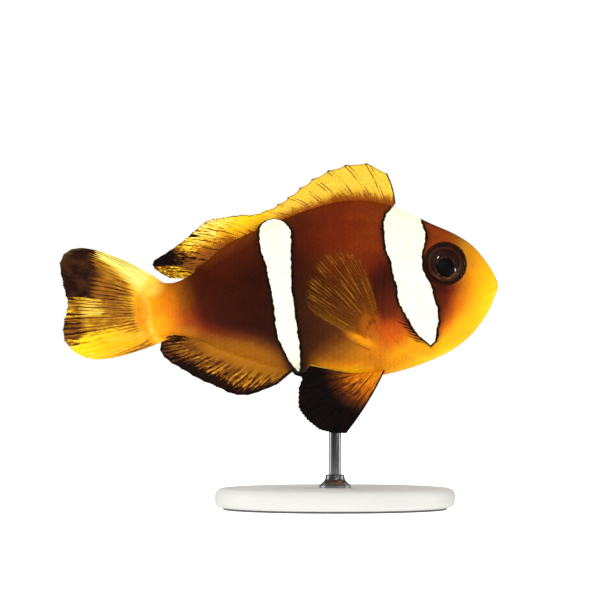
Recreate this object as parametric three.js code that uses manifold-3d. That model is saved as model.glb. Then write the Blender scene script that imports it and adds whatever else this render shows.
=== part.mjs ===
// A two-banded clownfish at life size: a still model held on a plain display stand.
// Millimetres, +Z up, +X towards the snout and +Y towards the fish's left side.
// The origin is the centre of the stand's underside.

import * as THREE from "three";
import { mergeVertices } from "three/addons/utils/BufferGeometryUtils.js";
import Module from "manifold-3d";

const wasm = await Module();
wasm.setup();

// ---------- driving dimensions ----------

const GAP = 0.3; // between pieces that meet
const BODY_RINGS = 31;
const HALF_RING = 13; // points down one flank
const CUT_STEPS = 14; // along each cut line
const FIN_THICKNESS = 0.55;
const FIN_STEPS = 3; // along a fin ray
const FIN_ROOT = 1.4; // how far a ray starts inside the body
const TAIL_SWEEP = 2.2; // sideways at the tip of the tail
const TAIL_TIP_X = -50.4;
const SWEEP_START_X = 4;

// The cross-section's shape: powers of an ellipse's sine above and below the widest level, and
// of its cosine.
const SECTION = { upper: 1.05, lower: 0.88, crown: 0.97 };

const EYE = { x: 20.0, y: 3.25, z: 44.95, radius: 3.7, depth: 2.35, around: 18, down: 9 };
const GILL_COVER = { thickness: 1.1, innerY: 1 };
// Where the pelvic fins leave the belly, and how fast they spread sideways along a ray.
const PELVIC = { rootY: 2.3, splay: 0.34 };
// The pectoral fin starts under the flank at one x, at no more than one height, lifts off it in
// a curve, then spreads at a steady rate.
const PECTORAL = { rootX: 6.9, rootTop: 36.4, sunk: 0.6, lift: 1.1, rise: 1.5, splay: 0.2 };

const BASE = { radius: 22, height: 4, edge: 0.7, around: 48 };
const COLLAR = { radius: 2.9, neck: 1.7, height: 2.4, foot: 0.8, around: 20 };
const ROD = { radius: 1.1, top: 25.4, around: 18 };
const BORE_DEPTH = 10; // longer than the rod's reach into the belly
const FAR = 30; // beyond the fish on either side
const LEAST_HALF_WIDTH = 0.12; // of a body that has been narrowed
const HALVINGS = 30; // steps in the search for a place along the body

// Stations from the snout to the root of the tail fin: the heights of the back and the belly,
// the half width, and the height at which the body is widest.
const STATIONS = [
  { x: 29.75, top: 41.6, bottom: 40.3, half: 0.35, level: 41.0 },
  { x: 29.3, top: 42.8, bottom: 39.0, half: 1.45, level: 41.0 },
  { x: 28.0, top: 45.0, bottom: 36.0, half: 2.6, level: 41.0 },
  { x: 25.4, top: 48.2, bottom: 32.4, half: 3.9, level: 41.2 },
  { x: 22.0, top: 50.5, bottom: 29.45, half: 4.95, level: 41.4 },
  { x: 17.6, top: 52.45, bottom: 27.2, half: 5.9, level: 41.4 },
  { x: 12.4, top: 54.8, bottom: 25.4, half: 6.6, level: 41.2 },
  { x: 6.0, top: 56.5, bottom: 24.1, half: 7.0, level: 41.0 },
  { x: -0.5, top: 56.1, bottom: 24.0, half: 6.75, level: 40.8 },
  { x: -7.5, top: 53.9, bottom: 25.2, half: 5.95, level: 40.3 },
  { x: -14.5, top: 51.1, bottom: 27.0, half: 4.8, level: 39.6 },
  { x: -20.5, top: 48.0, bottom: 29.0, half: 3.7, level: 38.6 },
  { x: -25.5, top: 43.6, bottom: 31.2, half: 2.75, level: 37.6 },
  { x: -29.3, top: 41.7, bottom: 31.8, half: 2.15, level: 36.9 },
  { x: -32.6, top: 41.6, bottom: 31.7, half: 1.65, level: 36.6 },
  { x: -35.2, top: 40.6, bottom: 32.8, half: 0.9, level: 36.6 },
];

// Key rays of each fin: root x, root z, tip x, tip z, and how far the ray bows to one side.
// The rays between them are interpolated.
const DORSAL_SPINES = [
  [10.6, 55.6, 9.3, 61.3, 0.5],
  [8.6, 56.1, 5.7, 63.3, 0.5],
  [6.2, 56.4, 1.9, 63.1, 0.6],
  [3.3, 56.4, -1.3, 62.1, 0.6],
  [0.5, 56.1, -4.3, 60.5, 0.5],
  [-2.0, 55.6, -6.5, 58.9, 0.4],
  [-4.4, 55.0, -8.7, 57.2, 0.3],
  [-6.6, 54.3, -10.6, 55.9, 0.2],
  [-8.8, 53.5, -12.7, 54.8, 0.1],
  [-11.0, 52.5, -15.4, 53.9, 0.1],
];
const DORSAL_SOFT = [
  [-12.4, 51.9, -16.9, 53.85, 0.1],
  [-15.3, 50.6, -20.5, 53.6, 0.2],
  [-17.8, 49.3, -23.4, 52.8, 0.3],
  [-20.0, 48.1, -25.7, 51.0, 0.3],
  [-22.0, 46.8, -28.1, 48.9, 0.3],
  [-23.8, 45.5, -31.0, 47.0, 0.3],
  [-25.2, 44.4, -33.2, 45.3, 0.2],
  [-26.3, 43.5, -32.4, 43.5, 0.0],
  [-26.9, 43.0, -30.2, 42.75, 0.0],
];
const DORSAL_SEAM = [
  [-9.6, 50.0],
  [-11.9, 52.3],
  [-16.4, 54.0],
  [-19.0, 55.2],
];
const ANAL = [
  [-7.6, 25.4, -10.4, 23.2, 0.0],
  [-8.9, 25.6, -13.2, 21.8, -0.1],
  [-10.8, 26.0, -16.0, 20.9, -0.2],
  [-13.2, 26.7, -18.9, 21.1, -0.2],
  [-15.6, 27.4, -21.7, 22.4, -0.2],
  [-18.2, 28.3, -25.1, 24.2, -0.3],
  [-20.6, 29.2, -28.0, 26.0, -0.3],
  [-22.6, 30.1, -30.5, 27.6, -0.3],
  [-24.2, 31.0, -31.9, 29.3, -0.2],
  [-25.4, 31.5, -31.5, 31.2, 0.0],
  [-26.2, 31.8, -29.4, 32.1, 0.0],
];
const CAUDAL = [
  [-32.3, 42.0, -44.2, 47.6, 0.8],
  [-33.1, 41.3, -47.0, 47.9, 0.8],
  [-33.8, 40.4, -49.3, 47.1, 0.7],
  [-34.1, 39.7, -50.4, 45.1, 0.5],
  [-34.3, 38.9, -50.1, 42.4, 0.3],
  [-34.5, 38.0, -49.5, 39.7, 0.1],
  [-34.6, 36.9, -49.0, 37.8, 0.0],
  [-34.6, 36.1, -49.3, 36.0, 0.0],
  [-34.5, 35.1, -49.8, 33.6, -0.1],
  [-34.3, 34.2, -49.5, 30.9, -0.3],
  [-34.0, 33.3, -47.4, 28.6, -0.5],
  [-33.5, 32.5, -44.4, 27.5, -0.7],
  [-32.7, 31.8, -41.0, 27.7, -0.7],
];
const PECTORAL_RAYS = [
  [7.6, 36.4, 5.1, 44.8, 0.3],
  [7.5, 35.8, 3.5, 47.0, 0.4],
  [7.3, 35.1, 1.2, 48.4, 0.4],
  [7.1, 34.3, -1.6, 48.2, 0.4],
  [6.9, 33.5, -3.9, 46.2, 0.3],
  [6.7, 32.7, -5.4, 43.4, 0.2],
  [6.5, 31.9, -6.1, 40.3, 0.1],
  [6.3, 31.1, -5.9, 37.8, -0.1],
  [6.1, 30.5, -4.6, 35.9, -0.3],
];
const PELVIC_RAYS = [
  [8.5, 24.7, 1.9, 14.0, -0.9],
  [7.5, 24.7, -0.5, 14.1, -0.7],
  [6.6, 24.7, -3.0, 14.8, -0.5],
  [5.7, 24.7, -5.2, 16.6, -0.3],
  [4.8, 24.7, -6.7, 18.8, -0.1],
  [4.0, 24.8, -6.7, 22.1, 0.0],
  [3.3, 24.9, -6.0, 25.0, 0.0],
  [2.7, 25.0, -4.6, 26.5, 0.0],
];

// The gill opening, from the nape down the rear edge of the gill cover to the throat.
const GILL_OPENING = [
  [10.9, 60.0],
  [11.2, 54.0],
  [11.3, 49.0],
  [9.6, 45.2],
  [8.8, 41.0],
  [8.7, 37.0],
  [9.4, 33.4],
  [11.6, 30.4],
  [15.0, 28.2],
  [18.4, 26.6],
  [20.0, 22.0],
];
// The gill cover's front edge, from its upper corner to its lower one.
const GILL_COVER_FRONT = [
  [13.2, 49.4],
  [15.2, 46.6],
  [15.0, 41.0],
  [15.6, 35.4],
  [18.2, 31.0],
  [21.4, 27.6],
];
// The mouth's slit, then the edge of the lower jaw down to the chin.
const JAW_LINE = [
  [31.5, 41.2],
  [28.8, 40.1],
  [26.7, 38.9],
  [25.3, 36.4],
  [23.6, 33.0],
  [21.6, 28.0],
];
const TAIL_CUT = [
  [-27.6, 50.0],
  [-27.9, 37.0],
  [-27.6, 24.0],
];

// ---------- materials ----------

function finish(color, roughness, metalness = 0) {
  return new THREE.MeshStandardMaterial({ color, roughness, metalness });
}

const MATERIALS = {
  skin: finish(0x5a2409, 0.45),
  jaw: finish(0xf0a818, 0.45),
  peduncle: finish(0xe08a14, 0.45),
  fin: finish(0xe0a028, 0.5),
  darkFin: finish(0x241008, 0.5),
  eye: finish(0x2a1608, 0.1),
  base: finish(0xd9d8d4, 0.4),
  steel: finish(0xb4b6b8, 0.3, 1),
};

// ---------- solids from grids ----------

// A Catmull-Rom curve through rows of numbers, at t from 0 to 1.
function between(rows, t) {
  const place = Math.min(Math.max(t, 0), 1) * (rows.length - 1);
  const i = Math.min(Math.floor(place), rows.length - 2);
  const f = place - i;
  const row = (k) => rows[Math.min(Math.max(k, 0), rows.length - 1)];
  return rows[0].map((_, c) => {
    const [a, b, d, e] = [row(i - 1)[c], row(i)[c], row(i + 1)[c], row(i + 2)[c]];
    const cubic = 3 * b - a - 3 * d + e;
    return b + 0.5 * f * (d - a + f * (2 * a - 5 * b + 4 * d - e + f * cubic));
  });
}

// How far the body's middle plane is swung sideways at x.
function sweepAt(x) {
  const share = Math.max(0, (SWEEP_START_X - x) / (SWEEP_START_X - TAIL_TIP_X));
  return -TAIL_SWEEP * share * share;
}

// A closed surface through rings of points. Each ring runs down one side and back up the other,
// so point j lies across from the last point less j, and strips between them close both ends.
function surfaceThrough(rings) {
  const size = rings[0].length;
  const index = [];
  const quad = (a, b, c, d) => index.push(a, b, c, a, c, d);
  for (let r = 0; r + 1 < rings.length; r++) {
    for (let j = 0; j < size; j++) {
      const next = (j + 1) % size;
      quad(r * size + j, r * size + next, (r + 1) * size + next, (r + 1) * size + j);
    }
  }
  const last = (rings.length - 1) * size;
  for (let j = 0; j + 1 < size / 2; j++) {
    const across = size - 1 - j;
    quad(j, across, across - 1, j + 1);
    quad(last + j, last + j + 1, last + across - 1, last + across);
  }
  const geometry = new THREE.BufferGeometry();
  const points = new Float32Array(rings.flat(2));
  geometry.setAttribute("position", new THREE.BufferAttribute(points, 3));
  geometry.setIndex(index);
  return geometry;
}

function solid(geometry) {
  const bare = geometry.clone();
  bare.deleteAttribute("normal");
  bare.deleteAttribute("uv");
  const merged = mergeVertices(bare, 1e-4);
  const mesh = new wasm.Mesh({
    numProp: 3,
    vertProperties: merged.attributes.position.array,
    triVerts: new Uint32Array(merged.index.array),
  });
  return new wasm.Manifold(mesh);
}

// The solid inside a surface through rings, whichever way round they run.
function loft(rings) {
  const made = solid(surfaceThrough(rings));
  return made.volume() > 0 ? made : solid(surfaceThrough(rings.reverse()));
}

function meshOf(name, made, material) {
  const { vertProperties, triVerts } = made.getMesh();
  const geometry = new THREE.BufferGeometry();
  geometry.setAttribute("position", new THREE.BufferAttribute(new Float32Array(vertProperties), 3));
  geometry.setIndex(new THREE.BufferAttribute(new Uint32Array(triVerts), 1));
  geometry.computeVertexNormals();
  const mesh = new THREE.Mesh(geometry, material);
  mesh.name = name;
  return mesh;
}

// The pieces of a cut solid, largest first.
function pieces(made) {
  return made.decompose().sort((a, b) => b.volume() - a.volume());
}

// A prism across the whole fish over an outline given in x and z.
function prism(outline, fromY = -FAR, toY = FAR) {
  const shape = new THREE.Shape(outline.map(([x, z]) => new THREE.Vector2(x, z)));
  const made = new THREE.ExtrudeGeometry(shape, { depth: toY - fromY, bevelEnabled: false });
  return solid(made.rotateX(Math.PI / 2).translate(0, toY, 0));
}

// Points along a curve, moved sideways by an offset.
function offsetLine(line, offset) {
  const curve = new THREE.SplineCurve(line.map(([x, z]) => new THREE.Vector2(x, z)));
  return Array.from({ length: CUT_STEPS + 1 }, (_, i) => {
    const point = curve.getPoint(i / CUT_STEPS);
    const along = curve.getTangent(i / CUT_STEPS);
    return [point.x - along.y * offset, point.y + along.x * offset];
  });
}

// A cut GAP wide along a line in x and z.
function thinCut(line) {
  return prism([...offsetLine(line, GAP / 2), ...offsetLine(line, -GAP / 2).reverse()]);
}

// ---------- body ----------

const STATION_ROWS = STATIONS.map((s) => [s.x, s.top, s.bottom, s.half, s.level]);

// How far out the flank is at an angle down from the back, as shares of half width and height:
// a narrow back, a full cheek and a rounder belly.
function section(angle) {
  const across = Math.sin(angle);
  const up = Math.cos(angle);
  const fullness = up > 0 ? SECTION.upper : SECTION.lower;
  return {
    across: Math.pow(across, fullness),
    up: Math.sign(up) * Math.pow(Math.abs(up), SECTION.crown),
  };
}

// The whole body grown by an outset, and narrowed by a further amount on each side.
function body(outset = 0, narrowed = 0) {
  const rings = [];
  for (let r = 0; r <= BODY_RINGS; r++) {
    const t = r / BODY_RINGS;
    const [x, top, bottom, half, level] = between(STATION_ROWS, t);
    const reach = outset * (1 - 2 * t); // lengthens both ends
    const width = Math.max(half + outset - narrowed, LEAST_HALF_WIDTH);
    const ring = [];
    for (let j = 0; j < 2 * HALF_RING; j++) {
      const right = j < HALF_RING;
      const down = ((right ? j : 2 * HALF_RING - 1 - j) + 0.5) / HALF_RING;
      const { across, up } = section(down * Math.PI);
      const height = up > 0 ? top + outset - level : level - bottom + outset;
      const y = (right ? -1 : 1) * width * across + sweepAt(x);
      ring.push([x + reach, y, level + height * up]);
    }
    rings.push(ring);
  }
  return loft(rings);
}

// Half the body's width at a place on its flank.
function flankAt(x, z) {
  let [low, high] = [0, 1];
  for (let i = 0; i < HALVINGS; i++) {
    const middle = (low + high) / 2;
    if (between(STATION_ROWS, middle)[0] > x) low = middle;
    else high = middle;
  }
  const [, top, bottom, half, level] = between(STATION_ROWS, low);
  const up = z > level ? (z - level) / (top - level) : (level - z) / (level - bottom);
  return half * Math.sqrt(Math.max(0, 1 - up * up));
}

const skinSurface = body();
const clearOfBody = body(GAP);

// ---------- fins ----------

// A point on a fin: ray number s from 0 to 1 across the fin, t from 0 at the root to 1 at the edge.
function rayPoint(keys, s, t, rootInset = 0) {
  const [rootX, rootZ, tipX, tipZ, bow] = between(keys, s);
  const [dx, dz] = [tipX - rootX, tipZ - rootZ];
  const length = Math.hypot(dx, dz);
  const along = t - (rootInset / length) * (1 - t);
  const side = (4 * bow * t * (1 - t)) / length;
  return [rootX + dx * along + dz * side, rootZ + dz * along - dx * side];
}

// A thin plate over a fin's rays. Between two rays its edge dips by a notch. sideways(x, z, reach)
// says where the plate lies across the fish, from how far a point is along its ray.
function finPlate(keys, { rays, notch, perRay = 2, root = FIN_ROOT, sideways = sweepAt }) {
  const columns = (rays - 1) * perRay;
  const rings = [];
  for (let i = 0; i <= columns; i++) {
    const s = i / columns;
    const [rootX, rootZ, tipX, tipZ] = between(keys, s);
    const length = Math.hypot(tipX - rootX, tipZ - rootZ);
    const dip = (notch / length) * Math.sin((Math.PI * (i % perRay)) / perRay);
    const front = [];
    const back = [];
    for (let j = 0; j <= FIN_STEPS; j++) {
      const t = (j / FIN_STEPS) * (1 - dip);
      const [x, z] = rayPoint(keys, s, t, root);
      const y = sideways(x, z, t * length);
      front.push([x, y - FIN_THICKNESS / 2, z]);
      back.unshift([x, y + FIN_THICKNESS / 2, z]);
    }
    rings.push([...front, ...back]);
  }
  return loft(rings);
}

function trimmed(plate) {
  return pieces(plate.subtract(clearOfBody))[0];
}

function dorsalFins() {
  const spiny = finPlate(DORSAL_SPINES, { rays: DORSAL_SPINES.length, notch: 0.55, perRay: 3 });
  const soft = finPlate(DORSAL_SOFT, { rays: 16, notch: 0.18 });
  const seam = thinCut(DORSAL_SEAM);
  return { spiny: trimmed(spiny.subtract(seam)), soft: trimmed(soft.subtract(seam)) };
}

function pectoralFin(side) {
  return trimmed(
    finPlate(PECTORAL_RAYS, {
      rays: 17,
      notch: 0.15,
      root: 0,
      sideways: (x, z, reach) => {
        const root = flankAt(PECTORAL.rootX, Math.min(z, PECTORAL.rootTop)) - PECTORAL.sunk;
        const lifted = PECTORAL.lift * (1 - Math.exp(-reach / PECTORAL.rise));
        return side * (root + lifted + PECTORAL.splay * reach);
      },
    }),
  );
}

function pelvicFin(side) {
  return trimmed(
    finPlate(PELVIC_RAYS, {
      rays: 8,
      notch: 0.2,
      sideways: (x, z, reach) => side * (PELVIC.rootY + PELVIC.splay * reach),
    }),
  );
}

// ---------- head, trunk and tail ----------

function eyeball(side, outset = 0) {
  const ball = new THREE.SphereGeometry(1, EYE.around, EYE.down);
  const [radius, depth] = [EYE.radius + outset, EYE.depth + outset];
  return solid(ball.scale(radius, depth, radius).translate(EYE.x, side * EYE.y, EYE.z));
}

function rodBore() {
  const radius = ROD.radius + GAP;
  const bore = new THREE.CylinderGeometry(radius, radius, BORE_DEPTH, ROD.around);
  const middle = ROD.top + GAP - BORE_DEPTH / 2;
  return solid(bore.rotateX(Math.PI / 2).translate(0, 0, middle));
}

function gillCoverRegion(side, outset) {
  const front = offsetLine(GILL_COVER_FRONT, outset);
  const behind = [
    [12.0, 22.0],
    [4.0, 30.0],
    [4.0, 49.0 + outset],
  ];
  const { innerY } = GILL_COVER;
  const across = side < 0 ? [-FAR, -innerY] : [innerY, FAR];
  return prism([...front, ...behind], ...across);
}

function fleshPieces() {
  const cut = skinSurface
    .subtract(thinCut(GILL_OPENING))
    .subtract(thinCut(TAIL_CUT))
    .subtract(rodBore());
  const byX = cut.decompose().sort((a, b) => b.boundingBox().max[0] - a.boundingBox().max[0]);
  const [wholeHead, trunk, tail] = byX;
  let [head, jaw] = pieces(wholeHead.subtract(thinCut(JAW_LINE)));
  const gillCovers = {};
  for (const [name, side] of [["right", -1], ["left", 1]]) {
    const plate = head.intersect(gillCoverRegion(side, 0)).subtract(body(0, GILL_COVER.thickness));
    gillCovers[name] = pieces(plate)[0];
    const room = gillCoverRegion(side, GAP).subtract(body(0, GILL_COVER.thickness + GAP));
    head = pieces(head.subtract(room))[0];
    head = head.subtract(eyeball(side, GAP));
  }
  return { head, jaw, trunk, tail, gillCovers };
}

// ---------- stand ----------

function turned(profile, segments) {
  const points = profile.map(([r, z]) => new THREE.Vector2(r, z));
  return solid(new THREE.LatheGeometry(points, segments).rotateX(Math.PI / 2));
}

function standPieces() {
  const { radius, height, edge } = BASE;
  const baseProfile = [
    [0, 0],
    [radius - edge, 0],
    [radius, edge],
    [radius, height - edge],
    [radius - edge, height],
    [0, height],
  ];
  const bore = ROD.radius + GAP;
  const collarProfile = [
    [bore, height],
    [COLLAR.radius, height],
    [COLLAR.radius, height + COLLAR.foot],
    [COLLAR.neck, height + COLLAR.height],
    [bore, height + COLLAR.height],
    [bore, height],
  ];
  const rodProfile = [
    [0, height],
    [ROD.radius, height],
    [ROD.radius, ROD.top],
    [0, ROD.top],
  ];
  return {
    base: turned(baseProfile, BASE.around),
    collar: turned(collarProfile, COLLAR.around),
    rod: turned(rodProfile, ROD.around),
  };
}

// ---------- the fish ----------

const clownfish = new THREE.Group();
clownfish.name = "clownfish";

function add(name, made, material) {
  clownfish.add(meshOf(name, made, material));
}

const flesh = fleshPieces();
add("head", flesh.head, MATERIALS.skin);
add("lower_jaw", flesh.jaw, MATERIALS.jaw);
add("trunk", flesh.trunk, MATERIALS.skin);
add("tail_stem", flesh.tail, MATERIALS.peduncle);

const dorsal = dorsalFins();
add("dorsal_fin_spiny", dorsal.spiny, MATERIALS.fin);
add("dorsal_fin_soft", dorsal.soft, MATERIALS.fin);
add("anal_fin", trimmed(finPlate(ANAL, { rays: 16, notch: 0.2 })), MATERIALS.fin);
add("tail_fin", trimmed(finPlate(CAUDAL, { rays: 17, notch: 0.25 })), MATERIALS.fin);

for (const [name, side] of [["right", -1], ["left", 1]]) {
  add("gill_cover_" + name, flesh.gillCovers[name], MATERIALS.skin);
  add("eye_" + name, eyeball(side), MATERIALS.eye);
  add("pectoral_fin_" + name, pectoralFin(side), MATERIALS.fin);
  add("pelvic_fin_" + name, pelvicFin(side), MATERIALS.darkFin);
}

const stand = standPieces();
add("stand_base", stand.base, MATERIALS.base);
add("stand_collar", stand.collar, MATERIALS.steel);
add("stand_rod", stand.rod, MATERIALS.steel);

export default clownfish;
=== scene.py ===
import math

import bpy
import numpy as np
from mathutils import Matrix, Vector


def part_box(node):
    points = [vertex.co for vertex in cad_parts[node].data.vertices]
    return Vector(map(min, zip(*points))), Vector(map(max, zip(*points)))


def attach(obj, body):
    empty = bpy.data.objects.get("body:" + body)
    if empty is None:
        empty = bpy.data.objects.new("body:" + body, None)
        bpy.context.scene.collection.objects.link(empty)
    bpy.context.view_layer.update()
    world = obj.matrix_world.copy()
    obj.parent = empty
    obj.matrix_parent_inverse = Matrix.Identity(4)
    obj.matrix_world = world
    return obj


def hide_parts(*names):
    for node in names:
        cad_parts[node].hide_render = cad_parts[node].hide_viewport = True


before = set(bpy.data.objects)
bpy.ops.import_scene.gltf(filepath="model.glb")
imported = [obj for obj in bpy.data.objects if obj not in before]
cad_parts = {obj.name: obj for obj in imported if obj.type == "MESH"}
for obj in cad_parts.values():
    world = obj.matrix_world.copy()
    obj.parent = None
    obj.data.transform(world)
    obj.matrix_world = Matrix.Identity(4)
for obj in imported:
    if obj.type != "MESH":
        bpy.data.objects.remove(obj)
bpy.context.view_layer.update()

# A two-banded clownfish at life size, held by a plain display stand.
#
# The fish is drawn in millimetres: +X towards the snout, +Y towards its left side, +Z up from the
# stand's underside. The frame's own boxes say how large and where that drawing lies.

SNOUT_X = 29.75
STEM_END_X = -35.2
MM = (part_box("head")[1].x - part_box("tail_stem")[0].x) / (SNOUT_X - STEM_END_X)
ORIGIN = np.array(
    [
        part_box("head")[1].x - SNOUT_X * MM,
        (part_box("stand_base")[0].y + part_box("stand_base")[1].y) / 2,
        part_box("stand_base")[0].z,
    ]
)


# ---------- sizes, in the drawing's millimetres ----------

COAT_DEPTH = 0.12  # the skin lies this far inside the solids
RING_POINTS = 256
HEAD_END_X = 8
HEAD_SPACING = 0.135  # from ring to ring ahead of HEAD_END_X
TRUNK_SPACING = 0.3  # and behind it
SWEEP_START_X = 4
TAIL_TIP_X = -50.4
TAIL_SWEEP = 2.2  # how far the tip of the tail swings to the right
SECTION_UPPER, SECTION_LOWER, SECTION_CROWN = 1.05, 0.88, 0.97  # how full the sections are

FIRST_SCALE_X, LAST_SCALE_X = 25, -35.6
SCALE_STEP = 0.95  # from one row of scales to the next, along the body
SCALE_RISE = 1.14  # and across it
SCALE_LENGTH = 1.42
SCALE_WIDTH = 1.25

MAP_EDGE = 0.02  # the OFBake map is a square of size 1
PATCH_HALF = 0.0015  # half of a scale's patch on it

# Snout to tail: x, height of the back, height of the belly, half width, height of the widest place.
STATIONS = [
    [29.75, 41.6, 40.3, 0.35, 41],
    [29.3, 42.8, 39, 1.45, 41],
    [28, 45, 36, 2.6, 41],
    [25.4, 48.2, 32.4, 3.9, 41.2],
    [22, 50.5, 29.45, 4.95, 41.4],
    [17.6, 52.45, 27.2, 5.9, 41.4],
    [12.4, 54.8, 25.4, 6.6, 41.2],
    [6, 56.5, 24.1, 7, 41],
    [-0.5, 56.1, 24, 6.75, 40.8],
    [-7.5, 53.9, 25.2, 5.95, 40.3],
    [-14.5, 51.1, 27, 4.8, 39.6],
    [-20.5, 48, 29, 3.7, 38.6],
    [-25.5, 43.6, 31.2, 2.75, 37.6],
    [-29.3, 41.7, 31.8, 2.15, 36.9],
    [-32.6, 41.6, 31.7, 1.65, 36.6],
    [-35, 40.4, 33, 0.85, 36.6],
    [-36.6, 38.9, 34.4, 0.2, 36.6],
]

# Key rays of each fin: root x, root z, tip x, tip z, bow to one side.
DORSAL_SPINES = [
    [10.8, 55.6, 9.5, 61.6, 0.5],
    [8.6, 56.1, 5.8, 63.4, 0.5],
    [6.2, 56.4, 1.9, 63.1, 0.6],
    [3.3, 56.4, -1.3, 62.1, 0.6],
    [0.5, 56.1, -4.3, 60.5, 0.5],
    [-2, 55.6, -6.5, 58.9, 0.4],
    [-4.4, 55, -8.7, 57.2, 0.3],
    [-6.6, 54.3, -10.6, 55.9, 0.2],
    [-8.8, 53.5, -12.7, 54.8, 0.1],
    [-10.2, 52.8, -15.4, 53.9, 0.1],
]
DORSAL_SOFT = [
    [-11.4, 52.3, -17, 53.95, 0.1],
    [-13.3, 51.5, -20.5, 53.5, 0.2],
    [-15.6, 50.4, -23.4, 52.9, 0.3],
    [-18.1, 49.1, -25.7, 51.1, 0.3],
    [-20.6, 47.7, -28.1, 49, 0.3],
    [-22.9, 46.1, -31, 46.95, 0.3],
    [-25, 44.5, -33.3, 45.4, 0.2],
    [-26.2, 43.3, -32.9, 43.9, 0],
    [-26.6, 42.4, -30.3, 42.35, -0.1],
]
ANAL = [
    [-7.6, 25.4, -10.7, 22.8, 0],
    [-8.9, 25.6, -13.2, 21.8, -0.1],
    [-10.8, 26, -16, 20.9, -0.2],
    [-13.2, 26.7, -18.9, 21.1, -0.2],
    [-15.6, 27.4, -21.7, 22.4, -0.2],
    [-18.2, 28.3, -25.1, 23.9, -0.3],
    [-20.6, 29.2, -28.1, 25.7, -0.3],
    [-22.6, 30.1, -30.7, 27.3, -0.3],
    [-24.2, 31, -32.1, 29.2, -0.2],
    [-25.4, 31.5, -31.5, 31.2, 0],
    [-26.2, 31.8, -29.4, 32.1, 0],
]
CAUDAL = [
    [-32.3, 41.9, -44.2, 47.6, 0.65],
    [-33.1, 41.3, -47, 47.9, 0.65],
    [-33.8, 40.4, -49.3, 47.1, 0.7],
    [-34.1, 39.7, -50.4, 45.1, 0.5],
    [-34.3, 38.9, -50.1, 42.4, 0.3],
    [-34.5, 38, -49.5, 39.7, 0.1],
    [-34.6, 36.9, -49, 37.8, 0],
    [-34.6, 36.1, -49.3, 36, 0],
    [-34.5, 35.1, -49.8, 33.6, -0.1],
    [-34.3, 34.2, -49.5, 30.9, -0.3],
    [-34, 33.3, -47.4, 28.6, -0.5],
    [-33.2, 32.3, -44.4, 27.5, -0.6],
    [-30.4, 31.4, -41, 27.7, -0.4],
]
PECTORAL = [
    [7.6, 36.4, 5.1, 44.8, 0.3],
    [7.5, 35.8, 3.5, 47, 0.4],
    [7.3, 35.1, 1.2, 48.4, 0.4],
    [7.1, 34.3, -1.6, 48.2, 0.4],
    [6.9, 33.5, -3.9, 46.2, 0.3],
    [6.7, 32.7, -5.4, 43.4, 0.2],
    [6.5, 31.9, -6.1, 40.3, 0.1],
    [6.3, 31.1, -5.9, 37.8, -0.1],
    [6.1, 30.5, -4.6, 35.9, -0.3],
]
PELVIC = [
    [8.5, 24.7, 1.9, 14, -0.45],
    [7.5, 24.7, -0.5, 14.1, -0.45],
    [6.6, 24.7, -3, 14.8, -0.4],
    [5.7, 24.7, -5.2, 16.6, -0.3],
    [4.8, 24.7, -6.7, 18.8, -0.1],
    [4, 24.7, -6.7, 22.1, 0],
    [3.5, 24.7, -6.2, 24.1, 0],
    [3.2, 24.7, -7.6, 24.8, 0],
    [3, 24.7, -5.9, 25.15, 0],
    [2.7, 24.75, -4.7, 26.4, 0.1],
]

# Where the belly meets the top of the pelvic fins, as x and z: the line of a painted highlight.
PELVIC_CREASE = [[-4.7, 26.5], [-2.3, 25.95], [0.8, 25.3], [3, 24.85]]

# Lines on the head and flank, as x and z.
GILL_EDGE = [
    [13.4, 50.2], [11.2, 49], [9.6, 45.2], [8.8, 41], [8.7, 37], [9.4, 33.4], [11.6, 30.4],
    [15, 28.2], [18.4, 26.6], [20.6, 24],
]
CHEEK_EDGE = [[16.2, 47.4], [15.1, 44.6], [14.8, 41], [15.5, 35.4], [18, 31.2], [21.6, 29.4]]
MOUTH = [[31, 41.45], [29.4, 40.75], [28, 39.9], [26.7, 39]]
BROW = [[26.3, 38.8], [24.6, 38.5], [22.6, 39.4], [20.6, 40], [18.2, 40.2]]
LATERAL_LINE = [[10.5, 50.8], [5, 52.3], [-1, 51.6], [-7, 49.6], [-13, 46.8], [-18, 44]]

NOSTRIL = (25.2, 44.7)
PORES = [(21.2, 40.4, 0.38, 0.6), (23.4, 40.4, 0.3, 0.2)]  # x, z, radius and strength
VENT = (-7.3, 25.1)
# The fleshy root of the pectoral fin: middle, direction, half length and half width.
LOBE = {"at": (5.8, 32.6), "along": (0.62, -0.78), "length": 3.2, "width": 1.7, "rise": 0.4}
# The bright flap below that root, and the middle of the orange on the cheek.
FLAP = {"at": (4.5, 31.25), "along": (0.9, -0.44)}
CHEEK = (10.4, 32.2)
# The flesh of the tail stem ends on a bowed line: its middle, and its bow.
STEM_LINE = {"x": -34.9, "z": 36.8, "bow": 0.077}
PUPIL = {"forward": 0.05, "up": -0.72, "radius": 1.74}  # from the middle of the eye


# ---------- curves and fields ----------


def between(rows, t):
    """A Catmull-Rom curve through rows of numbers, at t from 0 to 1."""
    rows = np.asarray(rows, float)
    place = np.clip(t, 0, 1) * (len(rows) - 1)
    i = np.minimum(place.astype(int), len(rows) - 2)
    f = (place - i)[..., None]
    a, b, c, d = (rows[np.clip(i + k, 0, len(rows) - 1)] for k in (-1, 0, 1, 2))
    cubic = 3 * b - a - 3 * c + d
    return b + 0.5 * f * (c - a + f * (2 * a - 5 * b + 4 * c - d + f * cubic))


def rise(value, low, high):
    """0 below low, 1 above high, and a smooth step between. High may be the smaller."""
    share = np.clip((value - low) / (high - low), 0, 1)
    return share * share * (3 - 2 * share)


def hump(distance, width):
    return np.exp(-((distance / width) ** 2))


def sweep_at(x):
    """How far the body's middle plane swings sideways at x."""
    share = np.maximum(0, (SWEEP_START_X - x) / (SWEEP_START_X - TAIL_TIP_X))
    return -TAIL_SWEEP * share * share


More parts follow.
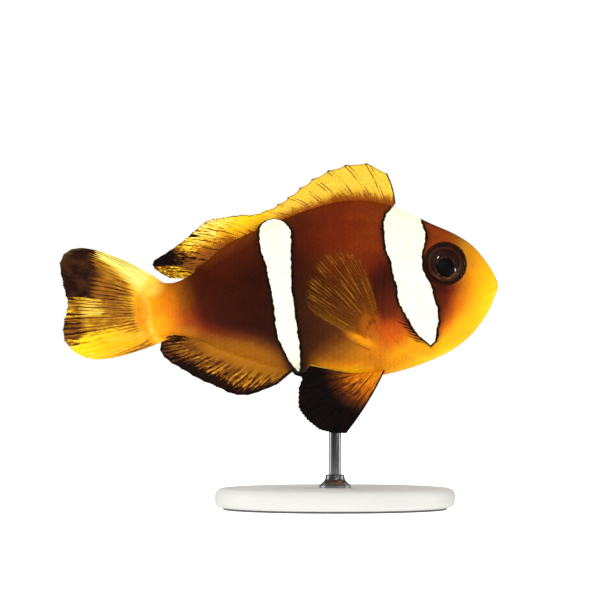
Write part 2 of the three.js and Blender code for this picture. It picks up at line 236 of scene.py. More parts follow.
def distance_to(line, x, z, steps=140):
    """Distance from places to a line, positive on the left of its run, and where along it."""
    t = np.linspace(0, 1, steps)
    points = between(line, t)
    run = np.gradient(points, axis=0)
    run /= np.linalg.norm(run, axis=1)[:, None]
    flat = np.stack([x.ravel(), z.ravel()], 1)
    best = np.full(len(flat), np.inf)
    signed = np.zeros(len(flat))
    along = np.zeros(len(flat))
    for point, (dx, dz), share in zip(points, run, t):
        away = flat - point
        gap = np.hypot(away[:, 0], away[:, 1])
        closer = gap < best
        best = np.where(closer, gap, best)
        side = np.sign(dx * away[:, 1] - dz * away[:, 0])
        signed = np.where(closer, gap * side, signed)
        along = np.where(closer, share, along)
    return signed.reshape(x.shape), along.reshape(x.shape)


# ---------- the body's shape ----------


def section(angle):
    """Shares of half width (right side positive) and of height, at an angle from the back."""
    sine, cosine = np.sin(angle), np.cos(angle)
    fullness = np.where(cosine > 0, SECTION_UPPER, SECTION_LOWER)
    across = np.sign(sine) * np.abs(sine) ** fullness
    return across, np.sign(cosine) * np.abs(cosine) ** SECTION_CROWN


def body_points(t, angle, inset):
    """Points of the smooth body, t from snout to tail, angle from the back down the right."""
    x, top, bottom, half, level = np.moveaxis(between(STATIONS, t), -1, 0)
    across, up = section(angle)
    width = np.maximum(half - inset, 0.08)
    height = np.where(up > 0, top - inset - level, level - bottom - inset)
    y = sweep_at(x) - width * across
    return np.stack([np.broadcast_to(x, y.shape), y, level + height * up], -1)


def ring_places():
    """Stations for the rings, closer together on the head."""
    t = np.linspace(0, 1, 6000)
    x, top, bottom = between(STATIONS, t)[:, :3].T
    step = np.sqrt(np.diff(x) ** 2 + 0.5 * (np.diff(top) ** 2 + np.diff(bottom) ** 2))
    spacing = np.where(x[1:] > HEAD_END_X, HEAD_SPACING, TRUNK_SPACING)
    count = np.concatenate([[0], np.cumsum(step / spacing)])
    return np.interp(np.arange(int(count[-1]) + 1), count, t)


def ring_angles():
    """Angles that share the outline of a middle section evenly."""
    angle = np.linspace(0, 2 * math.pi, 4000)
    across, up = section(angle)
    length = np.hypot(np.diff(6 * across), np.diff(13.5 * up))
    total = np.concatenate([[0], np.cumsum(length)])
    return np.interp(np.arange(RING_POINTS) * total[-1] / RING_POINTS, total, angle)


def grid_normals(points, wrap):
    """Outward unit normals of a grid of points."""
    along = np.gradient(points, axis=0)
    if wrap:
        across = (np.roll(points, -1, 1) - np.roll(points, 1, 1)) / 2
    else:
        across = np.gradient(points, axis=1)
    normal = np.cross(along, across)
    return normal / np.maximum(np.linalg.norm(normal, axis=-1, keepdims=True), 1e-9)


# ---------- relief of the skin ----------


# The middle of the right eyeball in the drawing, and the radius of the opening for it.
EYE = sum((np.array(corner) - ORIGIN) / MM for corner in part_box("eye_right")) / 2
EYE_OPENING = 3.5


def gill_relief(x, z):
    """The gill cover stands over the opening behind it, and over the throat below."""
    ahead, _ = distance_to(GILL_EDGE, x, z)
    lip = 0.17 * rise(ahead, -0.15, 0.2) * np.exp(-np.maximum(ahead, 0) / 2.2)
    cleft = 0.14 * hump(ahead + 0.26, 0.26)
    return (lip - cleft) * rise(z, 50.4, 48.6) * rise(z, 27, 31)


def cheek_relief(x, z):
    """The front plate of the gill cover, with a fine step along its rear edge."""
    ahead, _ = distance_to(CHEEK_EDGE, x, z)
    lip = 0.13 * rise(ahead, -0.08, 0.1) * np.exp(-np.maximum(ahead, 0) / 1.5)
    return (lip - 0.08 * hump(ahead + 0.2, 0.2)) * rise(z, 48.2, 46.6) * rise(z, 29.6, 32.4)


def mouth_relief(x, z):
    """Full lips round a short slit, and the fold behind the corner of the mouth."""
    below, _ = distance_to(MOUTH, x, z)
    on_lips = rise(x, 26.5, 27.5)
    slit = -0.15 * hump(below, 0.11) * rise(x, 26.5, 27.2)
    upper = 0.06 * hump(below + 0.5, 0.4) - 0.03 * hump(below + 1.15, 0.3)
    lower = 0.07 * hump(below - 0.5, 0.4) - 0.03 * hump(below - 1.2, 0.3)
    corner = -0.05 * hump(np.hypot(x - 26.7, z - 39), 0.4)
    return slit + (upper + lower) * on_lips + corner


def eye_relief(x, z):
    """A socket for the eyeball, and a faint furrow round its rim."""
    away = np.hypot(x - EYE[0], z - EYE[2]) - EYE_OPENING
    return -1.5 * rise(away, 0.55, 0.1) - 0.08 * hump(away - 1.3, 0.3)


def small_relief(x, z):
    """Nostril, the fold under the eye, the lateral line and the vent."""
    from_nostril = np.hypot(x - NOSTRIL[0], z - NOSTRIL[1])
    nostril = 0.05 * hump(from_nostril - 0.36, 0.14) - 0.2 * hump(from_nostril, 0.2)
    fold, along = distance_to(BROW, x, z)
    under_eye = -0.1 * hump(fold, 0.16) * hump(along - 0.5, 0.45)
    line, along = distance_to(LATERAL_LINE, x, z)
    lateral = 0.06 * hump(line, 0.3) * rise(along, 1, 0.9) * rise(along, 0, 0.05)
    vent = 0.5 * hump(np.hypot((x - VENT[0]) / 0.7, (z - VENT[1]) / 0.55), 1)
    return nostril + under_eye + lateral + vent


def lobe_share(x, z):
    """How deep a place is inside the fleshy root of the pectoral fin: 1 in the middle."""
    dx, dz = x - LOBE["at"][0], z - LOBE["at"][1]
    ax, az = LOBE["along"]
    along = (dx * ax + dz * az) / LOBE["length"]
    across = (dz * ax - dx * az) / LOBE["width"]
    return hump(np.hypot(along, across), 1)


def fin_sheath(points):
    """A low ridge of flesh where the fins on the back and belly leave the body."""
    x, y, z = np.moveaxis(points, -1, 0)
    middle = hump(y - sweep_at(x), 0.75)
    back = rise(x, 11.2, 9.5) * rise(x, -28.5, -26) * (z > 38)
    belly = rise(x, -7.5, -9) * rise(x, -28, -25) * (z < 38)
    return 0.14 * middle * (back + belly)


def relief(points):
    """How far the skin stands out from the smooth body."""
    x, z = points[..., 0], points[..., 2]
    lobe = LOBE["rise"] * lobe_share(x, z)
    head = gill_relief(x, z) + cheek_relief(x, z) + mouth_relief(x, z) + eye_relief(x, z)
    return head + small_relief(x, z) + lobe + fin_sheath(points)


# ---------- meshes ----------


def add_object(name, data):
    """A new object in the scene."""
    made = bpy.data.objects.new(name, data)
    bpy.context.scene.collection.objects.link(made)
    return made


def make_piece(name, points, faces, material, replaced=(), smooth=True):
    """A mesh piece from drawn points, riding on the one body."""
    mesh = bpy.data.meshes.new(name)
    mesh.from_pydata((np.asarray(points) * MM + ORIGIN).tolist(), [], faces)
    mesh.materials.append(material)
    if smooth:
        mesh.shade_smooth()
    piece = add_object(name, mesh)
    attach(piece, "root")
    if replaced:
        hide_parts(*replaced)
    return piece


def grid_faces(rows, columns, wrap=False, first=0, flip=False):
    """Quads over a grid of points, facing the way grid_normals points unless flipped."""
    last = columns if wrap else columns - 1
    i, j = np.meshgrid(np.arange(rows - 1), np.arange(last), indexing="ij")
    k = (j + 1) % columns
    a, b = i * columns + j, i * columns + k
    corners = np.stack([a, a + columns, b + columns, b], -1).reshape(-1, 4) + first
    return (corners[:, ::-1] if flip else corners).tolist()


def fan(middle, first, around, flip=False):
    """Triangles from a middle point to a ring of points that starts at first."""
    ring = [(first + j, first + (j + 1) % around) for j in range(around)]
    return [[middle, b, a] if flip else [middle, a, b] for a, b in ring]


def set_number(piece, name, values):
    """A number for each point of a piece, which its material reads."""
    made = piece.data.attributes.new(name, "FLOAT", "POINT")
    made.data.foreach_set("value", np.asarray(values, np.float32).ravel())


def on_map(share):
    """A share of the way across the OFBake map, kept off its edges."""
    return MAP_EDGE + (1 - 2 * MAP_EDGE) * share


def set_bake_map(piece, places):
    """The OFBake map, from a place for each corner of each face."""
    layer = piece.data.uv_layers.new(name="OFBake")
    layer.uv.foreach_set("vector", np.asarray(places, np.float32).ravel())


# ---------- skin ----------

FLESH = ("head", "lower_jaw", "trunk", "tail_stem", "gill_cover_right", "gill_cover_left")
HALF_RING = RING_POINTS // 2
FLANK = HALF_RING // 2  # the column of points along the middle of the right flank


def sample(grid, i, j):
    """Values of a grid between its points: i along the body, j round it."""
    i = np.clip(i, 0, len(grid) - 1.001)
    low_i, low_j = np.floor(i).astype(int), np.floor(j).astype(int)
    fi, fj = (i - low_i)[..., None], (j - low_j)[..., None]
    j0, j1 = low_j % RING_POINTS, (low_j + 1) % RING_POINTS
    near = grid[low_i, j0] * (1 - fj) + grid[low_i, j1] * fj
    far = grid[low_i + 1, j0] * (1 - fj) + grid[low_i + 1, j1] * fj
    return near * (1 - fi) + far * fi


class SkinGrid:
    """The skin as rings of points from the snout back, each from the back down the right side."""

    def __init__(self):
        t, angle = ring_places(), ring_angles()
        self.smooth = body_points(t[:, None], angle[None, :], COAT_DEPTH)
        self.smooth_normals = grid_normals(self.smooth, wrap=True)
        lifted = self.smooth_normals * relief(self.smooth)[..., None]
        self.points = self.smooth + lifted
        self.normals = grid_normals(self.points, wrap=True)
        self.ring_x = self.smooth[:, 0, 0]
        steps = np.linalg.norm(np.diff(self.smooth[:, : HALF_RING + 1], axis=1), axis=2)
        down = np.concatenate([np.zeros((len(self.smooth), 1)), np.cumsum(steps, 1)], 1)
        self.down = down - down[:, FLANK : FLANK + 1]

    def ring(self, x):
        return np.interp(-np.asarray(x), -self.ring_x, np.arange(len(self.ring_x)))

    def flank(self, x):
        """How far down from the middle of the flank each point of the ring at x is."""
        return self.down[int(round(float(self.ring(x))))]

    def column(self, x, down):
        """The place round a ring that is some way down from the middle of the flank."""
        return float(np.interp(down, self.flank(x), np.arange(HALF_RING + 1)))

    def flank_place(self, x, z, side):
        """The grid place of a point on a flank, from its x and z."""
        ring = self.ring(x)
        heights = self.smooth[np.round(ring).astype(int), : HALF_RING + 1, 2]
        column = [np.interp(-h, -line, np.arange(HALF_RING + 1)) for h, line in zip(z, heights)]
        return ring, np.array(column) if side < 0 else RING_POINTS - np.array(column)

    def unwrap(self):
        """Each ring's place along the OFBake map."""
        steps = np.linalg.norm(np.diff(self.points[:, FLANK], axis=0), axis=1)
        total = np.concatenate([[0], np.cumsum(steps)])
        return on_map(total / total[-1])


def add_skin(grid, material):
    """The skin, closed at both ends, with its OFBake map."""
    rings = len(grid.points)
    nose, tail = rings * RING_POINTS, rings * RING_POINTS + 1
    faces = grid_faces(rings, RING_POINTS, wrap=True)
    faces += fan(nose, 0, RING_POINTS)
    faces += fan(tail, (rings - 1) * RING_POINTS, RING_POINTS, flip=True)
    ends = np.array([grid.points[0].mean(0), grid.points[-1].mean(0)])
    flat = np.concatenate([grid.points.reshape(-1, 3), ends])
    piece = make_piece("skin", flat, faces, material, FLESH)
    i, j = np.meshgrid(np.arange(rings - 1), np.arange(RING_POINTS), indexing="ij")
    along = grid.unwrap()[np.stack([i, i + 1, i + 1, i], -1)]
    down = on_map(np.stack([j, j, j + 1, j + 1], -1) / RING_POINTS)
    quads = np.stack([along, down], -1).reshape(-1, 2)
    start, stop = MAP_EDGE, 1 - MAP_EDGE
    share = on_map(np.arange(RING_POINTS + 1) / RING_POINTS)
    sides = list(zip(share[:-1], share[1:]))
    at_nose = [[(start / 2, low), (start, low), (start, high)] for low, high in sides]
    at_tail = [[(1 - start / 2, low), (stop, high), (stop, low)] for low, high in sides]
    set_bake_map(piece, np.concatenate([quads, *at_nose, *at_tail]))


# ---------- scales ----------


def scale_size_at(x):
    """Scales are full size on the trunk and smaller on the head and the tail stem."""
    return 1 - 0.36 * rise(x, 7, 15) - 0.26 * rise(x, -14, -32)


def scale_roots(grid):
    """Grid places of one flank's scales, with the grid steps of a millimetre back and down."""
    roots = []
    x, number = FIRST_SCALE_X, 0
    while x > LAST_SCALE_X:
        size = scale_size_at(x)
        top, bottom = grid.flank(x)[[0, -1]]
        apart = SCALE_RISE * size
        behind = x - 1
        for row in range(math.ceil(top / apart) - 1, math.floor(bottom / apart) + 1):
            down = (row + 0.5 * (number % 2)) * apart
            if not top + 0.35 < down < bottom - 0.3:
                continue
            at = (float(grid.ring(x)), grid.column(x, down))
            spread = down * scale_size_at(behind) / size
            back = (float(grid.ring(behind)), grid.column(behind, spread))
            lower = grid.column(x, down + 0.5)
            roots.append([*at, back[0] - at[0], back[1] - at[1], 2 * (lower - at[1]), size])
        x -= SCALE_STEP * size
        number += 1
    roots = np.array(roots)
    return roots[scale_allowed(grid, roots)]


def scale_allowed(grid, roots):
    """Keeps scales off the snout, eye, gill opening, cheek's edge and the pectoral fin's root."""
    place = sample(grid.smooth, roots[:, 0], roots[:, 1])
    x, z = place[:, 0], place[:, 2]
    length = SCALE_LENGTH * roots[:, 5]
    from_eye = np.hypot(x - EYE[0], z - EYE[2])
    off_eye = from_eye > EYE_OPENING + 1 + np.where(x > EYE[0], length, 0.1)
    off_snout = x - 0.2 * (z - 41) < 22.6 - 1.2 * rise(z, 42, 36)
    gill, _ = distance_to(GILL_EDGE, x, z)
    at_gill = (gill > -0.25) & (gill < length * 0.92) & (z < 49.6)
    cheek, _ = distance_to(CHEEK_EDGE, x, z)
    at_cheek = (cheek > -0.1) & (cheek < length * 0.8) & (z < 47.4)
    on_lobe = lobe_share(x - 0.5, z) > 0.3
    return off_eye & off_snout & ~at_gill & ~at_cheek & ~on_lobe


def scale_pattern():
    """One scale: places along and across it from -1 to 1, and lift. The underside comes last."""
    p, q = np.meshgrid(np.linspace(-1, 1, 5), np.linspace(-1, 1, 5), indexing="ij")
    along = (p * np.sqrt(1 - q * q / 2)).ravel()
    across = (q * np.sqrt(1 - p * p / 2)).ravel()
    lift = -0.055 + 0.0525 * (along + 1) + 0.035 * (1 - along**2 - across**2)
    inner = np.array([6, 7, 8, 11, 12, 13, 16, 17, 18])
    along = np.concatenate([along, along[inner]])
    across = np.concatenate([across, across[inner]])
    return along, across, np.concatenate([lift, lift[inner] - 0.045])


def scale_faces():
    """Top and underside of one scale, which share its rim."""
    top = np.arange(25).reshape(5, 5)
    under = top.copy()
    under[1:4, 1:4] = 25 + np.arange(9).reshape(3, 3)
    faces = []
    for i in range(4):
        for j in range(4):
            faces.append([top[i, j], top[i + 1, j], top[i + 1, j + 1], top[i, j + 1]])
            faces.append([under[i, j], under[i, j + 1], under[i + 1, j + 1], under[i + 1, j]])
    return np.array(faces)


def add_scales(name, side, grid, roots, material):
    """One flank's scales, joined. side is -1 for the right flank and 1 for the left."""
    along, across, lift = scale_pattern()
    size = roots[:, 5:6]
    back = (along + 0.55) * SCALE_LENGTH / 2 * size
    out = across * SCALE_WIDTH / 2 * size
    i = roots[:, 0:1] + back * roots[:, 2:3]
    j = roots[:, 1:2] + back * roots[:, 3:4] + out * roots[:, 4:5]
    if side > 0:
        j = RING_POINTS - j
    raised = sample(grid.normals, i, j) * (lift * size)[..., None]
    points = (sample(grid.points, i, j) + raised).reshape(-1, 3)
    count = len(along)
    starts = np.arange(len(roots)) * count
    faces = (scale_faces()[None] + starts[:, None, None]).reshape(-1, 4)
    if side > 0:
        faces = faces[:, ::-1]
    piece = make_piece(name, points, faces.tolist(), material)
    piece.data.set_sharp_from_angle(angle=math.radians(60))
    set_number(piece, "rim", np.tile(np.hypot(along, across), len(roots)))
    tint = np.random.default_rng(11).random(len(roots))
    set_number(piece, "tint", np.repeat(tint, count))
    root_u = np.interp(roots[:, 0:1], np.arange(len(grid.points)), grid.unwrap())
    root_v = on_map(roots[:, 1:2] / HALF_RING)
    patch = np.stack([root_u + PATCH_HALF * along, root_v + PATCH_HALF * across], -1)
    set_bake_map(piece, patch.reshape(-1, 2)[faces.ravel()])


# ---------- fins ----------


def ray_ridge(ray, reach, branching):
    """1 on a ray and 0 between rays. A soft ray forks, then its branches fork again."""
    from_ray = ray - np.round(ray)
    width = 0.12 - 0.065 * reach
    fork = 0.25 * rise(reach, 0.3, 0.75) * branching
    twig = 0.125 * rise(reach, 0.62, 0.98) * branching
    ridge = np.zeros_like(ray)
    for one in (-1, 1):
        for other in (-1, 1):
            ridge = np.maximum(ridge, hump(from_ray - one * fork - other * twig, width))
    return ridge


def fin_surface(keys, rays, per_gap, steps, root, notch, fray, sideways):
    """The middle surface of a fin, with each point's ray number, reach, and how far it is out
    from the root and in from the rim.

    rays pairs ray numbers with key rays: it says which ray falls on which key.
    """
    numbers, places = zip(*rays)
    ray = np.linspace(0, numbers[-1], numbers[-1] * per_gap + 1)[:, None]
    s = np.interp(ray[:, 0], numbers, places) / (len(keys) - 1)
    root_x, root_z, tip_x, tip_z, bow = np.moveaxis(between(keys, s), -1, 0)
    length = np.hypot(tip_x - root_x, tip_z - root_z)[:, None]
    notch = notch(ray) if callable(notch) else notch
    dip = notch * np.abs(np.sin(math.pi * ray)) + fray * np.abs(np.sin(4 * math.pi * ray))
    reach = np.linspace(0, 1, steps + 1)[None, :] * (1 - dip / length)
    along = reach - (root / length) * (1 - reach)
    side = 4 * bow[:, None] * reach * (1 - reach) / length
    dx, dz = (tip_x - root_x)[:, None], (tip_z - root_z)[:, None]
    x = root_x[:, None] + dx * along + dz * side
    z = root_z[:, None] + dz * along - dx * side
    y = sideways(x, z, reach * length)
    ray = np.broadcast_to(ray, reach.shape)
    rim_x = np.concatenate([x[0], x[:, -1]])
    rim_z = np.concatenate([z[0], z[:, -1]])
    inset = np.hypot(x[..., None] - rim_x, z[..., None] - rim_z).min(-1)
    return np.stack([x, y, z], -1), ray, reach, along * length, inset


def waving(x, z, reach):
    """A fin on the body's middle plane, with a gentle wave that is none at its root."""
    wave = 0.35 * np.sin(0.55 * x + 0.25 * z) + 0.12 * np.sin(1.5 * x - 0.9 * z)
    return sweep_at(x) + rise(reach, 0.5, 7) * wave


def rim_faces(columns, rows):
    """Strips that join the two faces of a fin round its rim."""
    at = np.arange(columns * rows).reshape(columns, rows)
    loop = np.concatenate([at[0, :-1], at[:-1, -1], at[-1, :0:-1], at[:0:-1, 0]])
    other = loop + columns * rows
    ahead = np.roll(loop, -1), np.roll(other, -1)
    return np.stack([loop, ahead[0], ahead[1], other], -1).tolist()


def make_fin(
    name, replaced, material, keys, rays, per_gap, steps, notch,
    root=1.4, fray=0.07, web=0.07, stem=0.17, foot=0, branching=1, sideways=waving,
):
    """A fin with solid rays in a thin membrane, closed all round.

    per_gap is the number of points from ray to ray, and steps the number along a ray. notch and
    fray are the depths of the dips in the rim. root is how deep the fin goes into the body. web
    and stem are half the thickness of membrane and ray, and foot is what the root adds to them.
    """
    middle, ray, reach, out, inset = fin_surface(
        keys, rays, per_gap, steps, root, notch, fray, sideways
    )
    ridge = ray_ridge(ray, reach, branching(ray) if callable(branching) else branching)
    thick = web * (1 - 0.4 * reach) + (stem - web) * (1 - 0.62 * reach) * ridge
    thick = thick + foot * np.exp(-np.maximum(out, 0) / 0.6)
    normals = grid_normals(middle, wrap=False)
    front = middle + normals * thick[..., None]
    back = middle - normals * thick[..., None]
    columns, rows = reach.shape
    faces = grid_faces(columns, rows)
    faces += grid_faces(columns, rows, first=columns * rows, flip=True)
    faces += rim_faces(columns, rows)
    points = np.concatenate([front.reshape(-1, 3), back.reshape(-1, 3)])
    piece = make_piece(name, points, faces, material, replaced)
    for label, values in (("ray", ray), ("reach", reach), ("ridge", ridge), ("inset", inset)):
        set_number(piece, label, np.tile(values.ravel(), 2))
    return piece


def flank_width(x, z):
    """Half the body's width at heights z, on the section at x."""
    t = np.linspace(0, 1, 2000)
    stations = between(STATIONS, t)
    _, top, bottom, half, level = stations[np.argmin(np.abs(stations[:, 0] - x))]
    up = np.where(z > level, (z - level) / (top - level), (level - z) / (level - bottom))
    return half * np.sqrt(np.maximum(0, 1 - up * up))


def pectoral_sideways(side):
    """A pectoral fin leaves the flank in a curve, then spreads and cups backwards."""

    def at(x, z, reach):
        root = flank_width(6.9, np.minimum(z, 36.4)) - 0.6
        lifted = 1.1 * (1 - np.exp(-np.maximum(reach, 0) / 1.5))
        return side * (root + lifted + 0.2 * reach + 0.1 * np.sin(0.9 * x + 0.5 * z))

    return at


def pelvic_sideways(side):
    """A pelvic fin spreads outwards and backwards, with a slight wave."""

    def at(x, _, reach):
        return side * (2.3 + 0.34 * reach + 0.15 * np.sin(0.8 * x) * rise(reach, 1, 6))

    return at


def make_fins(materials):
    spines = len(DORSAL_SPINES) - 1
    softs = len(DORSAL_SOFT)
    make_fin(
        "dorsal_rays", ("dorsal_fin_spiny", "dorsal_fin_soft"), materials["dorsal"],
        DORSAL_SPINES + DORSAL_SOFT,
        [(0, 0), (spines, spines), (spines + 1, spines + 1), (spines + 16, spines + softs)],
        per_gap=18, steps=42, notch=lambda ray: 0.3 - 0.2 * rise(ray, 7, 10),
        branching=lambda ray: rise(ray, 9, 11), stem=0.19, foot=0.3,
    )
    make_fin(
        "anal_rays", ("anal_fin",), materials["anal"], ANAL, [(0, 0), (15, 10)],
        per_gap=18, steps=42, notch=0.14, foot=0.45,
    )
    make_fin(
        "tail_rays", ("tail_fin",), materials["tail"], CAUDAL, [(0, 0), (16, 12)],
        per_gap=18, steps=56, notch=0.16, fray=0.12, stem=0.2, root=1,
    )
    for name, side in (("right", -1), ("left", 1)):
        make_fin(
            "pectoral_rays_" + name, ("pectoral_fin_" + name,), materials["pectoral"],
            PECTORAL, [(0, 0), (17, 8)], per_gap=12, steps=40, notch=0.1, root=0.6, web=0.05,
            stem=0.12, sideways=pectoral_sideways(side),
        )
        make_fin(
            "pelvic_rays_" + name, ("pelvic_fin_" + name,), materials["pelvic"],
            PELVIC, [(0, 0), (5, 5), (7, 9)], per_gap=24, steps=44, notch=0.08, fray=0.16, stem=0.22,
            sideways=pelvic_sideways(side),
        )


# ---------- eyes ----------

# The soft rim of the eye, from its foot under the skin, over and down into the socket.
EYE_RIM = [
    [1.05, -0.4], [1, -0.12], [0.8, 0.02], [0.62, 0.1], [0.42, 0.16], [0.22, 0.15], [0.07, 0.04],
    [0, -0.16], [0.02, -0.7], [0.3, -1.4],
]
EYE_AROUND = 96
EYE_APART = 4.62  # from the middle plane to the rim of the iris
EYE_FORWARD, EYE_UPWARD = 0.18, 0.21  # how far the eye looks ahead and up, for 1 sideways


def eye_axes(side):
    """Where the eyeball sits, and its directions forward, up and outward."""
    outward = Vector((EYE_FORWARD, side, EYE_UPWARD)).normalized()
    forward = (Vector((1, 0, 0)) - outward * outward.x).normalized()
    up = outward.cross(forward) * (1 if side < 0 else -1)
    at = np.array([EYE[0], side * EYE_APART, EYE[2]])
    return at, np.array(forward), np.array(up), np.array(outward)


def eye_places():
    """Places on the eye, in rings about the pupil that open out to rings about the eyeball."""
    full = EYE_OPENING + 0.16
    inner = np.linspace(0.06, 1, 14) * PUPIL["radius"]
    outer = PUPIL["radius"] + np.linspace(0, 1, 32)[1:] * (full - PUPIL["radius"])
    radius = np.concatenate([inner, outer])[:, None]
    off = 1 - np.clip((radius - PUPIL["radius"]) / (full - PUPIL["radius"]), 0, 1)
    turn = np.linspace(0, 2 * math.pi, EYE_AROUND, endpoint=False)[None, :]
    forward = PUPIL["forward"] * off + radius * np.cos(turn)
    up = PUPIL["up"] * off + radius * np.sin(turn)
    return forward, up


def iris_height(forward, up):
    """The iris is a shallow dish, and the dark lens swells through its opening."""
    from_pupil = np.hypot(forward - PUPIL["forward"], up - PUPIL["up"])
    dish = 0.3 - 0.26 * rise(np.hypot(forward, up), 1.8, EYE_OPENING)
    lip = 0.07 * hump(from_pupil - PUPIL["radius"] - 0.12, 0.16)
    lens = 0.12 + 0.3 * np.sqrt(np.maximum(0, 1 - (from_pupil / 1.8) ** 2))
    return np.where(from_pupil < PUPIL["radius"] - 0.01, lens, dish + lip)


def cornea_height(forward, up):
    """The clear dome over the iris."""
    share = np.hypot(forward, up) / (EYE_OPENING + 0.2)
    return 0.92 * np.sqrt(np.maximum(0, 1 - 0.97 * share**2)) - 0.1


def add_cap(name, side, height, skirt, material, replaced=()):
    """A round cap of the eye: a middle point, rings round it, and a closed back."""
    forward, up = eye_places()
    lift = height(forward, up)
    forward, up = np.vstack([forward, forward[-1]]), np.vstack([up, up[-1]])
    lift = np.vstack([lift, lift[-1] - skirt])
    forward = np.append(forward.ravel(), PUPIL["forward"])
    up = np.append(up.ravel(), PUPIL["up"])
    middle = height(np.array(PUPIL["forward"]), np.array(PUPIL["up"]))
    lift = np.append(lift.ravel(), middle)
    at, to_front, to_top, outward = eye_axes(side)
    points = at + np.outer(forward, to_front) + np.outer(up, to_top) + np.outer(lift, outward)
    rings = (len(points) - 1) // EYE_AROUND
    last = (rings - 1) * EYE_AROUND
    faces = grid_faces(rings, EYE_AROUND, wrap=True) + fan(len(points) - 1, 0, EYE_AROUND)
    faces.append([last + j for j in reversed(range(EYE_AROUND))])
    if side > 0:
        faces = [face[::-1] for face in faces]
    piece = make_piece(name, points, faces, material, replaced)
    set_number(piece, "forward", forward)
    set_number(piece, "up", up)
    return piece


def add_eye_rim(name, side, grid, material):
    """A closed ring of soft skin that holds the eyeball."""
    turn = np.linspace(0, 2 * math.pi, EYE_AROUND, endpoint=False)
    rings = []
    for away, lift in EYE_RIM:
        x = EYE[0] + (EYE_OPENING + away) * np.cos(turn)
        z = EYE[2] + (EYE_OPENING + away) * np.sin(turn)
        i, j = grid.flank_place(x, z, side)
        rings.append(sample(grid.smooth, i, j) + lift * sample(grid.smooth_normals, i, j))
    rings.append(rings[0])
    rows = len(rings) - 1
    faces = grid_faces(rows + 1, EYE_AROUND, wrap=True, flip=side < 0)
    faces = [[corner % (rows * EYE_AROUND) for corner in face] for face in faces]
    make_piece(name, np.array(rings[:-1]).reshape(-1, 3), faces, material)


def add_eyes(grid, materials):
    for name, side in (("right", -1), ("left", 1)):
        add_eye_rim("eye_rim_" + name, side, grid, materials["skin"])
        add_cap("iris_" + name, side, iris_height, 0.9, materials["iris"], ("eye_" + name,))
        add_cap("cornea_" + name, side, cornea_height, 0.35, materials["cornea"])


# ---------- stand ----------

BASE_PROFILE = [
    [0, 0.35], [20.7, 0.35], [21.3, 0.5], [21.75, 0.85], [21.95, 1.3], [22, 1.8], [22, 2.6],
    [21.9, 3.1], [21.65, 3.5], [21.25, 3.8], [20.7, 3.95], [20.1, 4], [19.3, 4], [19.15, 3.92],
    [19.05, 3.78], [18.9, 3.72], [18.75, 3.78], [18.65, 3.92], [18.5, 4], [9, 4], [0, 4],
]
FELT_PROFILE = [[0, 0], [20.3, 0], [20.5, 0.1], [20.5, 0.4], [0, 0.4]]
COLLAR_PROFILE = [
    [0, 3.9], [2.8, 3.9], [2.9, 4], [2.9, 4.45], [2.78, 4.56], [2.6, 4.6], [2.5, 4.68], [2.5, 4.8],
    [2.38, 4.9], [2.05, 5.15], [1.82, 5.55], [1.72, 6], [1.7, 6.2], [1.62, 6.34], [1.45, 6.4],
    [1.14, 6.4], [1.14, 6.1], [0, 6.1],
]
ROD_PROFILE = [[0, 4.5], [1.08, 4.5], [1.1, 4.6], [1.1, 25.2], [1, 25.35], [0, 25.35]]


def add_turned(name, profile, around, material, replaced=()):
    """A turned piece of the stand about its upright axis, from a profile of radius and height."""
    turn = np.linspace(0, 2 * math.pi, around, endpoint=False)
    inner = profile[1:-1]
    rings = [[[r * math.cos(a), r * math.sin(a), z] for a in turn] for r, z in inner]
    ends = [[0, 0, profile[0][1]], [0, 0, profile[-1][1]]]
    points = np.concatenate([np.array(rings).reshape(-1, 3), ends])
    rows = len(inner)
    faces = grid_faces(rows, around, wrap=True, flip=True)
    faces += fan(rows * around, 0, around, flip=True)
    faces += fan(rows * around + 1, (rows - 1) * around, around)
    piece = make_piece(name, points, faces, material, replaced)
    piece.data.set_sharp_from_angle(angle=math.radians(40))


def add_stand(materials):
    add_turned("stand_plinth", BASE_PROFILE, 160, materials["plinth"], ("stand_base",))
    add_turned("stand_felt", FELT_PROFILE, 96, materials["felt"])
    add_turned("stand_socket", COLLAR_PROFILE, 64, materials["steel"], ("stand_collar",))
    add_turned("stand_pin", ROD_PROFILE, 48, materials["steel"], ("stand_rod",))


# ---------- wiring of materials ----------


class Wire:
    """A value running through a material, with ordinary arithmetic."""

    def __init__(self, board, socket):
        self.board = board
        self.socket = socket

    def __add__(self, other):
        return self.board.math("ADD", self, other)

    def __sub__(self, other):
        return self.board.math("SUBTRACT", self, other)

    def __rsub__(self, other):
        return self.board.math("SUBTRACT", other, self)

    def __mul__(self, other):
        return self.board.math("MULTIPLY", self, other)

    def __truediv__(self, other):
        return self.board.math("DIVIDE", self, other)

    def __abs__(self):
        return self.board.math("ABSOLUTE", self)

    def smooth(self, low, high):
        """0 at low, 1 at high, and a smooth step between."""
        made = self.board.node("ShaderNodeMapRange", interpolation_type="SMOOTHSTEP")
        for name, value in (("Value", self), ("From Min", low), ("From Max", high)):
            self.board.feed(made.inputs[name], value)
        return Wire(self.board, made.outputs["Result"])

    def span(self, start, full, still_full, end):
        """0 at start, 1 from full to still_full, and 0 again at end."""
        return self.smooth(start, full) * self.smooth(end, still_full)

    def under(self, *coats):
        """This colour under thin coats, each given as its share and its colour."""
        color = self
        for share, coat in coats:
            coat = coat if isinstance(coat, Wire) else paint(*coat)
            color = self.board.blend(share, color, coat)
        return color


def paint(red, green, blue):
    """A colour as it looks on a screen, from 0 to 255, in linear light."""
    shares = [value / 255 for value in (red, green, blue)]
    linear = [((s + 0.055) / 1.055) ** 2.4 if s > 0.04045 else s / 12.92 for s in shares]
    return (*linear, 1)


